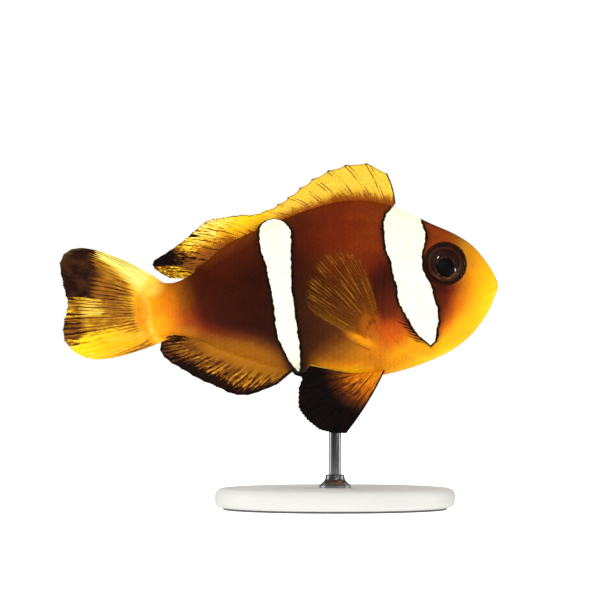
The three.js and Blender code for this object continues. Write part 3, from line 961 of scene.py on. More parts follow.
class Board:
    """Adds nodes to one material or node group."""

    def __init__(self, tree):
        self.tree = tree

    def node(self, kind, **settings):
        made = self.tree.nodes.new(kind)
        for name, value in settings.items():
            setattr(made, name, value)
        return made

    def feed(self, socket, value):
        if isinstance(value, Wire):
            self.tree.links.new(value.socket, socket)
        else:
            socket.default_value = value

    def math(self, operation, *values):
        made = self.node("ShaderNodeMath", operation=operation)
        for socket, value in zip(made.inputs, values):
            self.feed(socket, value)
        return Wire(self, made.outputs[0])

    def least(self, first, *others):
        return self.math("MINIMUM", first, self.least(*others)) if others else first

    def most(self, first, *others):
        return self.math("MAXIMUM", first, self.most(*others)) if others else first

    def sine(self, value):
        return self.math("SINE", value)

    def far(self, first, second):
        """The length of a step from its two sides."""
        return self.math("SQRT", first * first + second * second)

    def spot(self, across, up, name):
        """How deep a place is in one of the soft spots, from 0 to 1."""
        middle, size, edge, full = SPOTS[name]
        away = self.far((across - middle[0]) / size[0], (up - middle[1]) / size[1])
        return away.smooth(edge, full)

    def blend(self, share, first, second):
        made = self.node("ShaderNodeMix", data_type="RGBA")
        for index, value in ((0, share), (6, first), (7, second)):
            self.feed(made.inputs[index], value)
        return Wire(self, made.outputs[2])

    def split(self, vector):
        made = self.node("ShaderNodeSeparateXYZ")
        self.feed(made.inputs[0], vector)
        return [Wire(self, socket) for socket in made.outputs]

    def join(self, x, y, z):
        made = self.node("ShaderNodeCombineXYZ")
        for socket, value in zip(made.inputs, (x, y, z)):
            self.feed(socket, value)
        return Wire(self, made.outputs[0])

    def made_by(self, kind, output, **given):
        """What a node makes of the values given to its sockets."""
        made = self.node(kind)
        for name, value in given.items():
            self.feed(made.inputs[name], value)
        return Wire(self, made.outputs[output])

    def noise(self, place, scale, detail, roughness=0.5):
        return self.made_by(
            "ShaderNodeTexNoise", "Fac", Vector=place, Scale=scale, Detail=detail, Roughness=roughness
        )

    def shades(self, value, *stops):
        """Colours along a value: place, red, green, blue for each."""
        made = self.node("ShaderNodeValToRGB")
        ramp = made.color_ramp
        while len(ramp.elements) < len(stops):
            ramp.elements.new(1)
        for element, (place, *color) in zip(ramp.elements, stops):
            element.position = place
            element.color = paint(*color)
        self.feed(made.inputs[0], value)
        return Wire(self, made.outputs[0])

    def curve(self, value, rows):
        """A smooth line through places and heights, given in rising order of place."""
        places, heights = zip(*rows)
        low, high = min(heights), max(heights)
        width, rise_to = places[-1] - places[0], high - low
        made = self.node("ShaderNodeFloatCurve")
        line = made.mapping.curves[0]
        while len(line.points) < len(rows):
            line.points.new(0.5, 0.5)
        for point, (place, height) in zip(line.points, rows):
            point.location = ((place - places[0]) / width, (height - low) / rise_to)
            point.handle_type = "AUTO_CLAMPED"
        made.mapping.update()
        self.feed(made.inputs["Value"], (value - places[0]) / width)
        return Wire(self, made.outputs["Value"]) * rise_to + low

    def number(self, name):
        """A number that a piece carries at each point."""
        made = self.node("ShaderNodeAttribute", attribute_name=name)
        return Wire(self, made.outputs["Fac"])

    def bump(self, height, distance, strength=1):
        return self.made_by(
            "ShaderNodeBump", "Normal", Height=height, Distance=distance, Strength=strength
        )

    def place(self):
        """Where a point is in the drawing, in millimetres."""
        coordinates = self.node("ShaderNodeTexCoord")
        moved = self.node("ShaderNodeVectorMath", operation="SUBTRACT")
        self.tree.links.new(coordinates.outputs["Object"], moved.inputs[0])
        moved.inputs[1].default_value = ORIGIN
        scaled = self.node("ShaderNodeVectorMath", operation="SCALE")
        self.tree.links.new(moved.outputs[0], scaled.inputs[0])
        scaled.inputs["Scale"].default_value = 1 / MM
        return Wire(self, scaled.outputs[0])

    def use(self, group, **given):
        """A shared group's outputs by name."""
        made = self.node("ShaderNodeGroup", node_tree=group)
        for name, value in given.items():
            self.feed(made.inputs[name], value)
        return {socket.name: Wire(self, socket) for socket in made.outputs}


def start_group(name, inputs, outputs):
    """A shared group with its board, its inputs by name, and a function that sets its outputs."""
    tree = bpy.data.node_groups.new(name, "ShaderNodeTree")
    for side, sockets in (("INPUT", inputs), ("OUTPUT", outputs)):
        for label, kind in sockets.items():
            tree.interface.new_socket(name=label, in_out=side, socket_type="NodeSocket" + kind)
    board = Board(tree)
    source = board.node("NodeGroupInput")
    result = board.node("NodeGroupOutput")
    given = {label: Wire(board, source.outputs[label]) for label in inputs}

    def give(**made):
        for label, value in made.items():
            board.feed(result.inputs[label], value)

    return tree, board, given, give


def start_material(name, **constants):
    """A material with its board, and a function that feeds the shader's inputs."""
    material = bpy.data.materials.new(name)
    material.use_nodes = True
    board = Board(material.node_tree)
    shader = material.node_tree.nodes["Principled BSDF"]

    def give(**made):
        for label, value in made.items():
            board.feed(shader.inputs[label.replace("_", " ")], value)

    give(**constants)
    return material, board, give


# ---------- the fish's markings ----------

# Warmth of the colour from the tail to the snout: 0 is black brown, 1 is amber and 1.2 yellow.
UPPER_WARMTH = [
    [-36, 1.02], [-34, 0.97], [-32, 0.87], [-30, 0.73], [-28, 0.55], [-26, 0.36], [-24, 0.19],
    [-20, 0.13], [-14, 0.09], [-8, 0.13], [-5, 0.24], [-2, 0.33], [1, 0.39], [4, 0.43], [9, 0.44],
    [15, 0.46], [19, 0.49], [22, 0.56], [30, 0.62],
]
LOWER_WARMTH = [
    [-36, 1.05], [-32, 0.97], [-29, 0.8], [-26, 0.58], [-23, 0.55], [-17, 0.61], [-11, 0.58],
    [-9, 0.45], [-7, 0.1], [-5, 0.36], [-2, 0.78], [1, 0.72], [4, 0.74], [7, 0.77], [10, 0.88],
    [16, 0.98], [30, 1.02],
]
# Height at which the upper colour gives way to the lower one.
COLOR_EDGE = [
    [-30, 35.5], [-23, 33.2], [-20, 32.2], [-14, 30.9], [-10, 28.8], [-8, 27.2], [-5, 27.5],
    [-2, 28.2], [1, 29.8], [4, 32.2], [7, 33.5], [10, 32.7], [13, 32.8], [16, 32], [20, 33.2],
    [22.5, 35.6], [25, 37],
]

# The white bars' rear and front edges, by height.
HEAD_BAR_REAR = [
    [30.2, 17.4], [31.4, 15.9], [32.9, 14.5], [34.7, 13.4], [36, 12.7], [38.3, 11.6],
    [41.1, 11.2], [42.9, 10.6], [44.9, 10.3], [47.5, 9.3], [49.9, 9], [51.9, 8.9],
    [53.2, 9.1], [55.6, 10.8],
]
HEAD_BAR_FRONT = [
    [30.2, 17.4], [31.4, 18.3], [32.9, 18.4], [34.7, 18.7], [36, 18.7], [38.3, 18],
    [41.1, 17.4], [42.9, 16.3], [44.9, 15.7], [47.5, 15.9], [49.9, 16.4], [51.9, 15.9],
    [53.2, 15.6], [55.6, 15.5],
]
BODY_BAR_REAR = [
    [25.3, -6.8], [26.6, -7.9], [29, -9.2], [32.3, -10.5], [36.5, -11], [40.7, -11.7],
    [44.6, -12.5], [47.9, -13.5], [50.4, -13.8], [51.5, -13.7], [52.1, -13.4], [52.7, -12.7],
    [53.15, -11.4],
]
BODY_BAR_FRONT = [
    [25.3, -6.6], [26.6, -6.4], [29, -6.5], [32.3, -6.9], [36.5, -7.5], [40.7, -8],
    [44.6, -8.1], [47.9, -8.1], [50.4, -8.1], [51.5, -8.5], [52.1, -8.9], [52.8, -9.7],
    [53.15, -10.9],
]
# Soft spots: middle, half sizes, and the shares of these at which a spot starts and is full.
SPOTS = {
    "behind_bar": ((8.8, 40.8), (3.6, 8), 1, 0.2),
    "under_eye": ((19, 39.2), (3.4, 4.2), 1.1, 0.2),
    "below_orbit": ((20.6, 41), (3.8, 2), 1.15, 0.3),
    "side_fin": ((-0.4, 38.6), (8.4, 9.4), 1.08, 0.66),
    "stem_pale": ((-34.4, 41), (3.6, 2.8), 1.1, 0.3),
    "stem_amber": ((-35.4, 35.8), (2.2, 3.4), 1.1, 0.3),
    "stem_heel": ((-27.6, 32.2), (3.4, 2), 1.1, 0.2),
    "fin_root": ((6.2, 33.8), (2.4, 3.3), 1.15, 0.45),
    "flap": ((0, 0), (3.3, 1.05), 1.2, 0.2),  # along and across the flap
    "behind_cheek": ((9.6, 37.4), (3.8, 4.4), 1.1, 0.1),
    "dorsal_nook": ((-26.4, 45), (3.2, 2), 1.2, 0.4),
    "dorsal_dash": ((-26.2, 50.1), (1.6, 0.3), 1, 0.6),
    "tail_core": ((-41.2, 38.6), (3.8, 5), 1.1, 0.2),
    "tail_glow": ((-44.6, 36.8), (2.6, 2.2), 1.1, 0.5),
    "pelvic_root": ((7.6, 25.6), (12, 10.2), 1.1, 0),
}

# The body's two rows of colours, by warmth: place, red, green and blue.
RED_SHADES = [
    (0, 30, 10, 4), (0.17, 70, 20, 4), (0.33, 112, 35, 4), (0.5, 162, 70, 5),
    (0.67, 218, 114, 5), (0.83, 246, 168, 8), (1, 252, 208, 16),
]
GOLDEN_SHADES = [
    (0, 30, 12, 4), (0.17, 68, 32, 4), (0.33, 110, 57, 4), (0.5, 158, 92, 5),
    (0.67, 214, 124, 6), (0.83, 246, 176, 8), (1, 252, 208, 16),
]
TAIL_SHADES = [(0, 240, 170, 30), (0.2, 248, 190, 34), (0.6, 250, 202, 26), (1, 255, 222, 20)]
PELVIC_SHADES = [(0, 228, 134, 12), (0.3, 176, 92, 9), (0.55, 96, 44, 8), (0.9, 22, 11, 7)]
INK = (18, 8, 6)  # the black of the bars' borders and the fins' rims

# Darkness of the soft dorsal fin on the whole, from its rear tip forwards.
DORSAL_STREAKS = [[-32, 0.7], [-30, 0.5], [-28, 0.28], [-25, 0.16], [-21, 0.04], [-17, -0.06]]
# Where the tail's dark upper lobe starts, by height.
TAIL_LOBE_FRONT = [[37, -46], [40, -46.5], [41.4, -46], [44, -45.2], [46, -44.7], [48, -44.2]]
# Height at which the fins on the back leave the body.
DORSAL_EDGE = [
    [-26, 43.8], [-25, 46], [-22.4, 47], [-20, 48.7], [-17.5, 50], [-13.8, 52], [-10, 53.5],
    [-6.8, 54.6], [-2.4, 56], [2, 57.4], [5.5, 57.3], [10.5, 55.9],
]


def body_warmth(board, x, z, mottle):
    """Warmth over the body, with painted shade under the pectoral fin, then amber over the snout."""
    edge = board.curve(x, COLOR_EDGE)
    spread = x.span(-6, 2, 9, 14) * 2.6 + 2.5
    low = ((z - edge + mottle * 1.6) / spread).smooth(1, -1)
    slant = (z - 38) * 0.3 * x.smooth(-14, -20)
    upper = board.curve(x + slant, UPPER_WARMTH)
    warmth = upper + (board.curve(x, LOWER_WARMTH) - upper) * low
    # painted shade on the flank under the pectoral fin, which shades it
    fin_shade = z.smooth(48.5, 41.5) * x.span(-9, -4, 9, 12)
    behind_bar = board.spot(x, z, "behind_bar")
    under_eye = board.spot(x, z, "under_eye")
    below_orbit = board.spot(x, z, "below_orbit")
    warmth = warmth - (fin_shade * 0.1 + behind_bar * 0.2) * (1 - low)
    snout = (x - (z - 41) * 0.2 + mottle * 1.2).smooth(20, 28)
    warmth = warmth + (1 - warmth) * snout
    return warmth - under_eye * 0.22 - below_orbit * 0.14


def yellow_rim_and_belly_light(board, x, z):
    """How much of the yellow that lights the chin, the throat and the tip of the snout, and of the
    painted light along the belly's lower edge, which turns down into shade.
    """
    throat = (z - (x - 16) * 0.42).smooth(28.8, 26.4) * x.smooth(4, 11)
    tip = (x - (z - 38) * 0.25).smooth(25.6, 29)
    # painted light: the belly's lower edge is lightened where it faces down, away from the lamps
    belly = z.smooth(27.8, 25.4) * x.span(-5.6, -3, 4, 9)
    return board.most(throat, tip, belly * 1.2)


def golden_share(board, x, z):
    """Where the browns lean to gold: tail stem, rear of the belly, snout, under the side fin."""
    stem = x.smooth(-23.5, -27) * z.smooth(35, 38.5) * 0.7
    belly = z.smooth(33.6, 30.2) * x.span(-29, -25, 6, 14)
    film = board.spot(x, z, "side_fin")
    film = film * (x + (z - 38) * 0.32).smooth(8.2, 7.4) * (z.smooth(45, 38) * 0.45 + 0.4)
    snout = (x + (z - 46) * 0.12).smooth(20.8, 23.4)
    return board.most(belly, stem, film, snout)


def ground_color(board, x, z, mottle, grain):
    """The body's browns and ambers, before its details."""
    warmth = body_warmth(board, x, z, mottle) + mottle * 0.1 + grain * 0.07
    warmth = (warmth + yellow_rim_and_belly_light(board, x, z) * 0.16) / 1.2
    red, golden = (board.shades(warmth, *shades) for shades in (RED_SHADES, GOLDEN_SHADES))
    return board.blend(golden_share(board, x, z), red, golden)


def trunk_coats(board, x, y, z, mottle, grain):
    """The glow under the dorsal fin, the forehead, painted light on the keel, and a painted highlight
    along the crease over the pelvic fins.
    """
    from_fin = z - board.curve(x, DORSAL_EDGE)
    back = (from_fin + grain * 1.4).smooth(-3.4, 0) * x.span(-6, -13, -23.5, -26)
    glow = (from_fin + mottle * 2).smooth(-9, -1) * x.span(0.5, -4, -19, -24)
    forehead = x.span(22, 23.4, 25, 27.4) * z.smooth(42.6, 44.6)
    # painted light along the belly's midline by the anal fin's root, where the underside turns down into
    # shade
    keel_light = abs(y).smooth(2.2, 0.6) * (z - x * 0.3).smooth(38.4, 36.4) * x.smooth(-7.6, -9.6)
    # a painted highlight: a thin pale line where the belly meets the top of the pelvic fins
    crease_highlight = abs(z - board.curve(x, PELVIC_CREASE)).smooth(0.3, 0.06) * x.span(2.6, 0, -4, -4.9)
    return [
        (back * 0.36, (150, 76, 10)),
        (glow * 0.25, (124, 44, 6)),
        (forehead * 0.28, (204, 152, 34)),
        (keel_light * 0.3, (214, 140, 20)),
        (crease_highlight * 0.7, (255, 204, 80)),
    ]


def ahead_of_tail(x, z):
    """How far a place is ahead of the curved line where the flesh gives way to the tail fin."""
    level = z - STEM_LINE["z"]
    return x - STEM_LINE["x"] - level * level * STEM_LINE["bow"]


def stem_coats(board, place, x, z, mottle, grain):
    """The tail stem's orange, and the pale lumpy pad where the tail fin starts."""
    middle = x.span(-28, -30.5, -32.5, -35) * z.span(34, 36.5, 38.6, 41)
    ahead = ahead_of_tail(x, z) + mottle * 2.4 + grain
    lumps = board.noise(place, 0.9, 2).smooth(0.36, 0.62)
    pad = ahead.span(-0.9, 0, 0.2, 1.4) * (lumps * 0.7 + 0.3)
    pale = board.spot(x, z, "stem_pale")
    amber = board.spot(x, z, "stem_amber")
    heel = board.spot(x, z, "stem_heel")
    return [
        (middle * 0.35, (236, 124, 6)),
        (ahead.smooth(1.2, -1.2), (238, 160, 22)),
        (board.most(pad * 0.55, pale * 0.75), (254, 216, 84)),
        (amber * 0.5, (222, 126, 12)),
        (heel * 0.4, (206, 136, 18)),
    ]


def fin_root_shares(board, x, z):
    """The wrinkled root of the pectoral fin, the bright flap below it, and the line under the flap."""
    lobe = board.spot(x, z, "fin_root")
    dx, dz = x - FLAP["at"][0], z - FLAP["at"][1]
    ax, az = FLAP["along"]
    along, across = dx * ax + dz * az, dz * ax - dx * az
    flap = board.spot(along, across, "flap")
    under = abs(across + 1.05).smooth(0.22, 0.06) * along.span(-0.6, 0.4, 2.2, 2.9)
    return lobe, flap, under


def cheek_coats(board, x, z):
    """The orange cheek, the dusk behind it, and the root of the pectoral fin."""
    cheek = board.far(x - CHEEK[0], z - CHEEK[1]).smooth(4.2, 0.6)
    dusk = board.spot(x, z, "behind_cheek")
    lobe, flap, under = fin_root_shares(board, x, z)
    folds = board.noise(board.join(x + z * 0.5, 0, z * 0.35 - x * 0.35), 1.3, 2)
    return [
        (cheek * 0.7, (206, 80, 6)),
        (dusk * 0.55, (100, 33, 5)),
        (lobe * 0.5, board.blend(folds.smooth(0.5, 0.66), paint(182, 94, 8), paint(116, 52, 6))),
        (flap * 0.85, (254, 158, 12)),
        (under * 0.5, (110, 56, 8)),
    ]


def streaks_behind_bar(board, x, z):
    """Short dark lines, one above another, behind the lower end of the head bar."""
    behind = board.curve(z, HEAD_BAR_REAR) - x
    level = z * 0.97 + x * 0.16 - behind * behind * 0.09
    lines = board.sine(level * 11.6).smooth(-0.7, 0)
    uneven = board.noise(board.join(x * 0.5, level * 2.2, 0), 1, 1)
    reach = (behind + (uneven - 0.5) * 3).smooth(2.1, 1.3)
    return lines * z.span(30.3, 30.9, 33.8, 36.4) * reach * behind.smooth(-0.1, 0.2)


def pores_under_eye(board, x, z):
    """Small dark crescents on the cheek under the eye."""
    marks = []
    for at_x, at_z, radius, share in PORES:
        away = board.far(x - at_x, z - at_z)
        ring = away.span(radius - 0.16, radius, radius + 0.04, radius + 0.2)
        marks.append(ring * (x - at_x + (z - at_z) * 0.6).smooth(-0.1, 0.1) * share)
    return board.most(*marks)


def eye_ring(board, away, uneven):
    """The orbit's colours by distance from the middle of the eye: dark, brown, then a dark edge."""
    away = away - EYE_OPENING
    dark = board.most(away.smooth(0.12, -0.05), away.smooth(0.22, 0.38))
    return away.smooth(0.7, 0.42), board.blend(dark * uneven, paint(60, 27, 10), paint(20, 9, 6))


def dark_coats(board, place, x, y, z, mottle, grain):
    """Painted shade along the crown's midline, the rim of the eye, and the small dark marks."""
    # painted shade: a dark line down the crown's midline, which darkens the head's top edge as the
    # falloff of light would
    crown_shade = (abs(y) + grain - (27 - x) * 0.16).smooth(0.4, -0.7) * x.smooth(15, 16.2)
    crown_shade = crown_shade * (x + mottle * 3).smooth(26.4, 23) * z.smooth(44, 46)
    uneven = board.noise(place, 0.9, 2, 0.6).smooth(0.3, 0.56)
    from_eye = board.far(x - EYE[0], z - EYE[2]) + (uneven - 0.5) * 0.12
    return [
        (crown_shade * 0.85, (36, 15, 6)),
        eye_ring(board, from_eye, uneven),
        (streaks_behind_bar(board, x, z) * 0.95, (44, 14, 6)),
        (pores_under_eye(board, x, z), (74, 26, 6)),
        (board.far(x - VENT[0], z - VENT[1]).smooth(1.2, 0.5), (24, 12, 9)),
    ]


def bar_depth(board, x, z, rear, front, top):
    """How far inside a white bar a place is, negative outside it."""
    return board.least(x - board.curve(z, rear), board.curve(z, front) - x, top - z, z - rear[0][0])


def bars(board, place, x, z):
    """The white bars with their black borders, and their coats."""
    head = bar_depth(board, x, z, HEAD_BAR_REAR, HEAD_BAR_FRONT, 60)
    body = bar_depth(board, x, z, BODY_BAR_REAR, BODY_BAR_FRONT, 53.2)
    depth = board.most(head, body) + (board.noise(place, 1.1, 3, 0.6) - 0.5) * 0.75
    border, bar = depth.smooth(-0.6, -0.38), depth.smooth(-0.1, 0.08)
    cream = board.blend(board.noise(place, 0.6, 2), paint(253, 252, 236), paint(250, 248, 208))
    coats = [(depth.smooth(-1.5, -0.3) * 0.45, (40, 15, 8)), (border, INK), (bar, cream)]
    return bar, border, coats


def markings_group():
    """The colours of the body: amber snout and belly, browns, white bars and dark details."""
    group, board, given, give = start_group(
        "fish_markings", {"Place": "Vector"}, {"Color": "Color", "Bar": "Float", "Border": "Float"}
    )
    place = given["Place"]
    x, y, z = board.split(place)
    mottle, grain = board.noise(place, 0.35, 3) - 0.5, board.noise(place, 3.2, 2) - 0.5
    bar, border, bar_coats = bars(board, place, x, z)
    color = ground_color(board, x, z, mottle, grain).under(
        *trunk_coats(board, x, y, z, mottle, grain),
        *stem_coats(board, place, x, z, mottle, grain),
        *cheek_coats(board, x, z),
        *dark_coats(board, place, x, y, z, mottle, grain),
        *bar_coats,
    )
    give(Color=color, Bar=bar, Border=border)
    return group


def wet_skin_group():
    """Fine pores and a soft unevenness of the surface."""
    group, board, given, give = start_group(
        "wet_skin", {"Place": "Vector", "Depth": "Float"}, {"Roughness": "Float", "Normal": "Vector"}
    )
    pores = board.noise(given["Place"], 7, 3, 0.6)
    waves = board.noise(given["Place"], 0.8, 2)
    normal = board.bump(pores * 0.5 + waves, given["Depth"] * MM, 0.6)
    give(Roughness=waves * 0.12 + pores * 0.1 + 0.32, Normal=normal)
    return group


def ray_streaks_group():
    """Lines, streaks and dashes that run along a fin's rays and double towards its rim."""
    group, board, given, give = start_group(
        "ray_streaks",
        {"Ray": "Float", "Reach": "Float", "Seed": "Float"},
        {"Lines": "Float", "Fine": "Float", "Broad": "Float", "Dashes": "Float"},
    )
    ray, reach, seed = given.values()

    def grain(per_ray, along, shift, detail, roughness=0.5):
        at = board.join(ray * per_ray, reach * along, seed + shift)
        return board.noise(at, 1, detail, roughness)

    drift = grain(0.9, 0.6, 3, 1) * 3
    whole, halved = (board.sine(ray * k * math.pi + drift).smooth(0, 0.95) for k in (2, 4))
    lines = whole + (halved - whole) * reach.smooth(0.4, 0.6)
    give(
        Lines=lines * grain(1.7, 1.6, 7, 2).smooth(0.32, 0.62),
        Fine=grain(4.6, 2.6, 0, 3, 0.6).smooth(0.3, 0.7),
        Broad=grain(1.3, 1.6, 7, 1).smooth(0.3, 0.7),
        Dashes=grain(5, 12, 11, 3, 0.65).smooth(0.3, 0.7),
    )
    return group


# ---------- materials of the fish ----------


def skin_material(groups):
    material, board, give = start_material("fish_skin", Specular_IOR_Level=0.08)
    place = board.place()
    surface = board.use(groups["wet"], Place=place, Depth=0.05)
    give(**surface, Base_Color=board.use(groups["markings"], Place=place)["Color"])
    return material


def scale_material(groups):
    """The skin's own colours, a touch darker round each scale's rim."""
    material, board, give = start_material("fish_scales", Specular_IOR_Level=0.08)
    place = board.place()
    marks = board.use(groups["markings"], Place=place)
    rim = board.number("rim").smooth(0.72, 1)
    shade = (rim * 0.16 + board.number("tint") * 0.13) * (1 - marks["Bar"] * 0.75)
    surface = board.use(groups["wet"], Place=place, Depth=0.02)
    give(
        Base_Color=marks["Color"].under((shade, (26, 10, 6))),
        Roughness=surface["Roughness"] + rim * 0.06,
        Normal=surface["Normal"],
    )
    return material


class FinPaint:
    """A fin's material: where a point lies on the fin, and the streaks that run along its rays."""

    def __init__(self, name, groups, seed, ahead=0, mirror=0.1):
        """ahead brings the doubled streaks nearer the root."""
        self.material, self.board, self.give = start_material(name, Specular_IOR_Level=mirror)
        self.groups = groups
        self.ray, self.reach = self.board.number("ray"), self.board.number("reach")
        streaks = self.board.use(groups["streaks"], Ray=self.ray, Reach=self.reach + ahead, Seed=seed)
        self.lines, self.fine, self.broad, self.dashes = streaks.values()
        self.place = self.board.place()
        self.x, _, self.z = self.board.split(self.place)

    def darkness(self, share, depth, lines=0.42):
        """This share of it on the whole, broken up along the rays."""
        pattern = self.lines * lines + self.fine * 0.33 + self.dashes * (0.67 - lines)
        return share + (pattern - 0.42) * depth

    def finish(self, color, flesh, alpha=1):
        """flesh says where the fin's root still has the body's colours."""
        surface = self.board.use(self.groups["wet"], Place=self.place, Depth=0.02)
        body = self.board.use(self.groups["markings"], Place=self.place)["Color"]
        rough = surface["Roughness"] + 0.06
        self.give(
            Base_Color=color.under((flesh, body)), Roughness=rough, Normal=surface["Normal"], Alpha=alpha
        )
        return self.material


def darkening(darkness, brown, black):
    """A brown coat, and a black one where it is darkest."""
    return (darkness.smooth(0.08, 0.55), brown), (darkness.smooth(0.48, 0.92), black)


def dorsal_ground(fin, height, soft):
    """Yellow fins with a ragged brown foot."""
    board, x, fine = fin.board, fin.x, fin.fine
    grain = board.noise(fin.place, 5.2, 2, 0.7).smooth(0.3, 0.7)
    ragged = height + (grain - 0.5) * 1.2 - (fine - 0.5) * 0.9 - 0.5
    ragged = ragged + x.smooth(-21, -16) * 1.3 - x.smooth(-12, -9) * 0.45 - x.smooth(8.4, 10.6) * 0.8
    spiny = board.blend(grain, paint(255, 220, 78), paint(230, 160, 22))
    bright = board.blend(fine, paint(255, 232, 20), paint(248, 192, 18))
    bright = bright.under((ragged.smooth(4, 1) * 0.7, (232, 150, 14)))
    foot = ragged.smooth(1.7, 0.2) * (x + (fin.z - 44) * 0.5).smooth(-26.6, -24.6)
    return spiny.under((soft, bright), (foot, (150, 76, 8)), (ragged.smooth(0.2, -1.4), (112, 46, 6)))


def dorsal_darkness(fin, height, soft):
    """Streaks on the soft fin, a dark tip, and the dark places near it."""
    board, x, z, fine, dashes = fin.board, fin.x, fin.z, fin.fine, fin.dashes
    high = 1 - z.smooth(45, 44.3) * x.smooth(-23, -26)
    tip = (x + (fine - 0.5) * 4.4).smooth(-27.8, -31) * high
    band = (z + (dashes - 0.5)).smooth(48, 46.8) * x.smooth(-24.6, -28)
    dusk = (z - x * 0.2 + (fine - 0.5)).smooth(53.4, 51.6) * x.smooth(-18.5, -22)
    near = height.smooth(3.6, 0.8) * x.smooth(-17.5, -21.5)
    share = board.curve(x, DORSAL_STREAKS) * (high * 0.4 + 0.6) + tip * 0.44 + dusk * 0.22
    share = share + (band * 0.22 + near * 0.12) * high + 0.04
    depth = x.smooth(-12, -22) * 0.6 + 0.9 - tip * 0.8 + band * 0.4
    darkness = fin.darkness(share, depth, lines=0.26) * soft - (1 - soft)
    nook = board.spot(x, z, "dorsal_nook")
    dash = board.spot(x, z, "dorsal_dash")
    return board.most(darkness, nook * (fine * 0.4 + 0.44)) + dash * 0.9


def dorsal_material(groups):
    """Yellow with a brown foot; dark lines by the spines; streaks and a black tip behind."""
    fin = FinPaint("dorsal_fin", groups, seed=3)
    board, x, z = fin.board, fin.x, fin.z
    inset = board.number("inset")
    marks = board.use(groups["markings"], Place=fin.place)
    height = z - board.curve(x, DORSAL_EDGE)
    soft = x.smooth(-10.5, -14)
    from_ray = board.math("PINGPONG", fin.ray, 0.5)
    by_spine = from_ray.span(0.05, 0.08, 0.12, 0.16) * fin.fine.smooth(0.2, 0.5)
    by_spine = by_spine * (1 - soft) * height.smooth(0, 1)
    darkness = dorsal_darkness(fin, height, soft)
    pale = (inset + (fin.fine - 0.5) * 2).smooth(3, 0.4)
    pale = board.most(pale, x.smooth(-15, -23) * height.smooth(1.4, 2.6) * 0.8)
    glint = (darkness - pale * 0.12).smooth(0, -0.22) * x.smooth(-16, -24)
    broken = fin.dashes.smooth(0.25, 0.6) * (soft * 0.35 + 0.5)
    edge = inset.smooth(0.32, 0.14) * board.most(0.4 - soft, broken)
    near_tip = fin.reach.smooth(0.94, 0.98) * from_ray.smooth(0.13, 0.05)
    edge = board.most(edge, near_tip * (1 - soft), fin.ray.smooth(0.2, 0.1) * 0.95)
    color = dorsal_ground(fin, height, soft).under(
        (by_spine * 0.8, (84, 38, 8)),
        (glint * pale, (255, 250, 205)),
        *darkening(darkness, (150, 84, 12), (20, 10, 7)),
        (edge, (34, 16, 7)),
        (marks["Border"] * z.smooth(53.9, 53.3), INK),
        (marks["Bar"], (253, 252, 240)),
    )
    return fin.finish(color, height.smooth(-0.8, -1.8))


def anal_material(groups):
    """Golden brown, with dark streaks between the rays and a dark margin."""
    fin = FinPaint("anal_fin", groups, seed=11)
    board, x, z, fine = fin.board, fin.x, fin.z, fin.fine
    outer = fin.reach.smooth(0.24, 0.56)
    from_rim = board.number("inset")
    inset = from_rim - (fine - 0.5) * 1.1 - (fin.dashes - 0.5) * 0.6
    wide = x.smooth(-16, -21)
    margin = (inset - wide * 0.7).smooth(1.8, 0.6) * (x + (z - 22.5) * 0.7).smooth(-9.6, -11.6)
    margin = margin * (1 - x.smooth(-27.5, -30.5) * 0.45)
    rear = (x + (z - 28) * 0.5 + (fine - 0.5) * 3).smooth(-22, -27)
    front = from_rim.smooth(0.65, 0.35) * x.smooth(-14, -11.4)
    share = board.most(outer * (wide * 0.12 + 0.34) + margin * 0.6, rear * 0.6, front)
    depth = (outer * 1.8 + 0.1) * (1 - margin * 0.6)
    darkness = fin.darkness(share, board.most(depth, rear * 0.9))
    rim = (from_rim - (fine - 0.5) * 0.3).smooth(0.5, 0.25)
    color = board.blend(fin.broad, paint(156, 95, 8), paint(126, 74, 7)).under(
        (darkness.smooth(0.16, -0.1) * outer * 0.7, (224, 154, 34)),
        *darkening(darkness, (96, 50, 8), (30, 14, 6)),
        (rim * 0.8, INK),
    )
    return fin.finish(color, fin.reach.smooth(0.42, 0.12) * (1 - front))


def tail_darkness(fin, behind, along, across, over, middle, glow):
    """Streaks between the rays, the dark rear edge and lower patch, and the dark upper lobe."""
    board, x, z, ray = fin.board, fin.x, fin.z, fin.ray
    core = board.spot(x, z, "tail_core")
    end = along.smooth(-44.5, -47)
    edge = end * across.span(39.4, 38.6, 35.6, 34.8)
    lower = end * across.smooth(36.4, 35.2) * (across - (x + 48) * 0.35).smooth(29.5, 30.9)
    under = ray.smooth(14.4, 15.4) * x.smooth(-43, -37)
    brink = ray.smooth(2.4, 0.5)
    ahead = (along - board.curve(z, TAIL_LOBE_FRONT)) / (z.smooth(46.6, 42.6) * 5.4 + 1.6)
    lobe = ahead.smooth(1, 0) * across.smooth(38, 38.9)
    share = behind.smooth(0.6, 2.6) * 0.12 + middle * 0.38 + core * 0.14 - glow * 0.14
    share = board.most(share, edge * 0.64, lower * 0.86, under * 0.5, lobe)
    depth = middle * 0.45 + edge * 0.7 + lower * 0.5 + under * 0.6 + brink * 0.4 + 0.46
    pale_front = over * behind.smooth(9, 6)
    return fin.darkness(share, depth * (1 - lobe * 0.5)) + fin.lines * brink * 0.3 - pale_front * 0.12


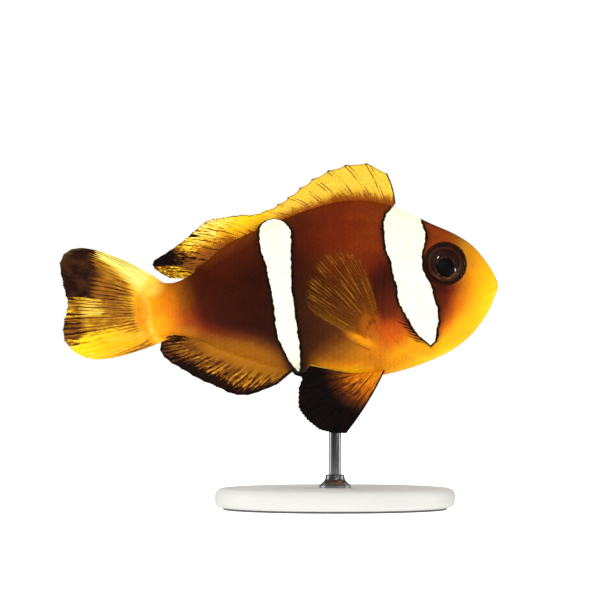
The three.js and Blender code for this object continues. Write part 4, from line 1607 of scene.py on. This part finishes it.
def tail_material(groups):
    """Amber, with a large dark upper lobe, a smaller lower patch, and streaks between."""
    fin = FinPaint("tail_fin", groups, seed=23, ahead=0.34)
    board, x, z = fin.board, fin.x, fin.z
    behind = 0 - ahead_of_tail(x, z)
    along = x + (fin.fine - 0.5) * 2.2 + (fin.dashes - 0.5)
    across = z + (fin.broad - 0.5) * 1.2 + (fin.dashes - 0.5) * 0.8
    over = (across + (x + 35.5) * 0.73).smooth(38.8, 41.6)
    middle = (across - (x + 45) * 0.16).smooth(30, 33.6) * (1 - over)
    middle = middle * (behind - board.most(across - 37, 0) * 0.55).smooth(0.1, 3)
    glow = board.spot(along, across, "tail_glow")
    darkness = tail_darkness(fin, behind, along, across, over, middle, glow)
    # painted glints: whitish highlights in the gaps between the streaks and over the glow patch
    pale = darkness.smooth(0.06, -0.16) * behind.smooth(1, 3)
    gold = board.blend(x.smooth(-40.5, -45.5), paint(245, 172, 6), paint(254, 208, 6))
    cloud = board.noise(fin.place, 0.5, 2).smooth(0.4, 0.7)
    black = board.blend(cloud, paint(36, 16, 7), paint(66, 32, 11))
    rim = (fin.reach + (fin.dashes - 0.5) * 0.08).smooth(0.94, 0.98) * z.smooth(44, 46.5)
    color = board.shades(x.smooth(-34, -48), *TAIL_SHADES).under(
        (over * 0.8, (255, 234, 128)),
        (z.smooth(33, 29.5) * 0.8, gold),
        (middle * 0.4, (206, 140, 24)),
        (board.most(pale, glow * fin.dashes * 0.7), (255, 238, 130)),
        *darkening(darkness, (146, 88, 16), black),
        (rim * 0.5, (96, 80, 18)),
    )
    return fin.finish(color, behind.smooth(2.6, 0.8))


def pelvic_material(groups):
    """Black, with an orange root that dark lines run through."""
    fin = FinPaint("pelvic_fin", groups, seed=31, mirror=0.08)
    board = fin.board
    warm = board.spot(fin.x, fin.z, "pelvic_root")
    darkness = fin.darkness(1.04 - warm * 1.04, warm * 1.5, lines=0.25)
    front = board.number("inset").smooth(0.4, 0.2)
    color = board.blend(fin.fine, paint(8, 5, 5), paint(22, 11, 8)).under(
        (warm.smooth(0, 0.4), board.shades(darkness, *PELVIC_SHADES)), (front * 0.95, (14, 7, 6))
    )
    return fin.finish(color, (fin.reach + fin.ray * 0.07).smooth(0.22, 0.08) * (1 - front))


def pectoral_material(groups):
    """A smoky golden film that thins to nothing, with fine golden rays."""
    fin = FinPaint("pectoral_fin", groups, seed=43, mirror=0.06)
    board, ray, reach = fin.board, fin.ray, fin.reach
    ridge = board.number("ridge")
    film = board.blend(reach.smooth(0.1, 0.9), paint(150, 80, 6), paint(104, 50, 4))
    patches = (fin.broad.smooth(0.3, 0.6) * 0.75 + 0.25) * fin.fine.smooth(0.85, 0.5)
    line = ridge.smooth(0.5, 0.95) * patches * reach.smooth(1, 0.92)
    groove = ridge.smooth(0.3, 0.05) * patches * reach.span(0.2, 0.4, 0.7, 0.96)
    low = ray.smooth(12, 16)
    color = film.under((line, (222, 150, 22)), (groove * 0.8, (52, 18, 6)), (low * 0.5, (180, 118, 6)))
    forward = ray.smooth(5, 1) * reach.smooth(0.95, 0.7)
    inside = ray.span(0, 0.9, 15.6, 17)
    film_share = forward * 0.14 + low * ray.smooth(17, 14) * 0.14 + 0.03
    lobe, flap, _ = fin_root_shares(board, fin.x, fin.z)
    flesh = board.most(reach.smooth(0.12, 0), lobe, flap)
    alpha = reach.smooth(0.4, 0) * 0.2 + reach.smooth(1, 0.5) * inside * film_share
    alpha = alpha + line * (inside * 0.36 + 0.1) + groove * inside * 0.2
    return fin.finish(color, flesh, board.most(alpha, flesh * 0.9))


def iris_material():
    """A dark brown iris with faint rings, a thin broken line round the pupil, and a black lens."""
    material, board, give = start_material("iris", Roughness=0.3, Specular_IOR_Level=0.15)
    forward, up = board.number("forward"), board.number("up")
    step, lift = forward - PUPIL["forward"], up - PUPIL["up"]
    from_pupil = board.far(step, lift)
    from_middle = board.far(forward, up)
    around = board.join(step / from_pupil * 1.7, lift / from_pupil * 1.7, from_pupil * 2.2)
    mottled = board.noise(around, 1.4, 3, 0.6).smooth(0.32, 0.68)
    rings = board.sine(from_pupil * 9 + mottled * 3) * 0.5 + 0.5
    outside = from_middle.smooth(2.5, 2.9)
    fold = from_middle.span(2.36, 2.5, 2.58, 2.72)
    below = (up - forward * 0.25).smooth(-0.6, -1.8)
    arc = from_middle.span(2.3, 2.6, 2.8, 3.1) * mottled.smooth(0.35, 0.8) * below
    rimmed = (from_middle + (mottled - 0.5) * 0.2).smooth(3.16, 3.4) * (mottled * 0.4 + 0.6)
    beyond = from_pupil - PUPIL["radius"]
    line = beyond.span(0, 0.05, 0.1, 0.2) * mottled.smooth(0.45, 0.9)
    color = board.blend(rings * 0.5 + mottled * 0.5, paint(34, 14, 6), paint(66, 30, 10)).under(
        (outside * 0.7, (84, 36, 10)),
        (fold * 0.7, (20, 9, 6)),
        (arc * 0.8, (150, 92, 30)),
        (rimmed, INK),
        (line * 0.7, (150, 116, 84)),
        (beyond.smooth(0.02, -0.04), (5, 4, 4)),
    )
    give(Base_Color=color, Normal=board.bump(board.noise(around, 4, 2), 0.04 * MM, 0.5))
    return material


def cornea_material():
    """A clear wet film: it only shows what it mirrors."""
    material, board, give = start_material("cornea", Metallic=1, Roughness=0.03)
    tear = board.noise(board.place(), 1.5, 1)
    give(
        Base_Color=board.blend(tear, paint(255, 255, 255), paint(246, 250, 255)),
        Alpha=board.made_by("ShaderNodeFresnel", "Fac", IOR=1.38),
    )
    return material


# ---------- materials of the stand ----------


def plinth_material():
    """Pale satin lacquer with a faint orange-peel surface."""
    material, board, give = start_material("pale_lacquer", Specular_IOR_Level=0.45)
    place = board.place()
    cloud = board.noise(place, 0.12, 3)
    speck = board.noise(place, 6, 2, 0.7)
    color = board.blend(cloud, paint(222, 221, 216), paint(214, 213, 209))
    give(
        Base_Color=color.under((speck.smooth(0.62, 0.74) * 0.25, (188, 186, 180))),
        Roughness=cloud * 0.1 + 0.34,
        Normal=board.bump(board.noise(place, 1.6, 2), 0.03 * MM, 0.5),
    )
    return material


def felt_material():
    """Grey felt under the plinth."""
    material, board, give = start_material("grey_felt", Specular_IOR_Level=0.1)
    fuzz = board.noise(board.place(), 5, 4, 0.8)
    give(
        Base_Color=board.blend(fuzz, paint(84, 84, 86), paint(120, 119, 118)),
        Roughness=fuzz * 0.1 + 0.88,
        Normal=board.bump(fuzz, 0.15 * MM),
    )
    return material


def steel_material():
    """Brushed steel, with fine marks round the axis."""
    material, board, give = start_material("brushed_steel", Metallic=1)
    place = board.place()
    x, y, z = board.split(place)
    marks = board.noise(board.join(x * 0.4, y * 0.4, z * 14), 1, 3, 0.7)
    cloud = board.noise(place, 0.7, 2)
    give(
        Base_Color=board.blend(marks, paint(150, 152, 156), paint(190, 191, 193)),
        Roughness=marks * 0.14 + cloud * 0.08 + 0.2,
        Normal=board.bump(marks, 0.012 * MM, 0.6),
    )
    return material


def make_materials():
    """The materials by the names that the pieces ask for."""
    groups = {"markings": markings_group(), "wet": wet_skin_group(), "streaks": ray_streaks_group()}
    return {
        "skin": skin_material(groups),
        "scales": scale_material(groups),
        "dorsal": dorsal_material(groups),
        "anal": anal_material(groups),
        "tail": tail_material(groups),
        "pelvic": pelvic_material(groups),
        "pectoral": pectoral_material(groups),
        "iris": iris_material(),
        "cornea": cornea_material(),
        "plinth": plinth_material(),
        "felt": felt_material(),
        "steel": steel_material(),
    }


# ---------- floor, light and camera ----------

FRAME_WIDTH = 109.84  # millimetres across the picture, at the fish
SIGHT_LINE = (-6.41, 38.35)  # x and z that the camera looks at
CAMERA_AWAY = 1000
SENSOR = 36
FLOOR_SIZE = 4  # metres
SKY_STRENGTH = 0.46
SKY_IN_MIRROR = 0.08

# Soft lamps: place in millimetres, width and height in metres, strength in watts.
LAMPS = {
    "key": {"at": (-260, -420, 420), "size": (0.3, 0.3), "watts": 1.4, "mirrored": False},
    "fill": {"at": (420, -330, 170), "size": (0.25, 0.25), "watts": 0.32, "mirrored": False},
    "glint_high": {"at": (109, -470, 345), "size": (0.034, 0.036), "watts": 0.11, "mirrored": True},
    "glint_low": {"at": (364, -436, 142), "size": (0.035, 0.075), "watts": 0.12, "mirrored": True},
    "top": {"at": (0, 60, 520), "size": (0.5, 0.5), "watts": 0.8, "mirrored": False},
    "far_side": {"at": (-160, 460, 330), "size": (0.35, 0.35), "watts": 1.44, "mirrored": False},
    "strip_rear": {"at": (-330, 50, 20), "size": (0.1, 0.3), "watts": 0.25, "mirrored": True},
    "strip_front": {"at": (330, 60, 20), "size": (0.1, 0.3), "watts": 0.25, "mirrored": True},
}
AIM = (-6, 0, 38)


def world_place(x, y, z):
    return Vector((np.array((x, y, z)) * MM + ORIGIN).tolist())


def add_lamp(name, at, size, watts, mirrored):
    lamp = bpy.data.lights.new(name, "AREA")
    lamp.shape = "ELLIPSE"
    lamp.size, lamp.size_y = size
    lamp.energy = watts
    holder = add_object(name, lamp)
    holder.location = world_place(*at)
    holder.visible_glossy = mirrored
    turned = world_place(*AIM) - holder.location
    holder.rotation_euler = turned.to_track_quat("-Z", "Y").to_euler()


def add_sky():
    """White to the camera, and a softer white as light."""
    world = bpy.data.worlds.new("studio")
    world.use_nodes = True
    board = Board(world.node_tree)
    background = world.node_tree.nodes["Background"]
    path = board.node("ShaderNodeLightPath")
    seen = Wire(board, path.outputs["Is Camera Ray"])
    mirrored = Wire(board, path.outputs["Is Glossy Ray"])
    strength = seen * (1 - SKY_STRENGTH) - mirrored * (SKY_STRENGTH - SKY_IN_MIRROR)
    board.feed(background.inputs["Strength"], strength + SKY_STRENGTH)
    background.inputs["Color"].default_value = (1, 1, 1, 1)
    bpy.context.scene.world = world


def floor_material():
    """Pale paper that glows a little, so that it runs into the white behind it."""
    material, board, give = start_material("pale_floor", Roughness=0.9, Specular_IOR_Level=0.1)
    tone = board.noise(board.place(), 0.02, 2)
    give(
        Base_Color=board.blend(tone, paint(236, 236, 234), paint(232, 232, 230)),
        Emission_Color=paint(255, 255, 255),
        Emission_Strength=0.7,
    )
    return material


def add_floor():
    half = FLOOR_SIZE / 2
    mesh = bpy.data.meshes.new("floor")
    low = float(ORIGIN[2])
    corners = [(-half, -half, low), (half, -half, low), (half, half, low), (-half, half, low)]
    mesh.from_pydata(corners, [], [[0, 1, 2, 3]])
    mesh.materials.append(floor_material())
    floor = add_object("floor", mesh)
    floor.visible_glossy = False


def add_camera():
    """Level with the fish's middle and square to its right side."""
    camera = bpy.data.cameras.new("camera")
    camera.sensor_width = SENSOR
    camera.lens = SENSOR * CAMERA_AWAY / FRAME_WIDTH
    camera.clip_start = 0.01
    holder = add_object("camera", camera)
    holder.location = world_place(SIGHT_LINE[0], -CAMERA_AWAY, SIGHT_LINE[1])
    holder.rotation_euler = (math.pi / 2, 0, 0)
    bpy.context.scene.camera = holder


# ---------- everything together ----------

materials = make_materials()
grid = SkinGrid()
roots = scale_roots(grid)
add_skin(grid, materials["skin"])
add_scales("scales_right", -1, grid, roots, materials["scales"])
add_scales("scales_left", 1, grid, roots, materials["scales"])
make_fins(materials)
add_eyes(grid, materials)
add_stand(materials)
add_floor()
add_sky()
for lamp_name, lamp in LAMPS.items():
    add_lamp(lamp_name, **lamp)
add_camera()
bpy.context.scene.view_settings.view_transform = "Standard"
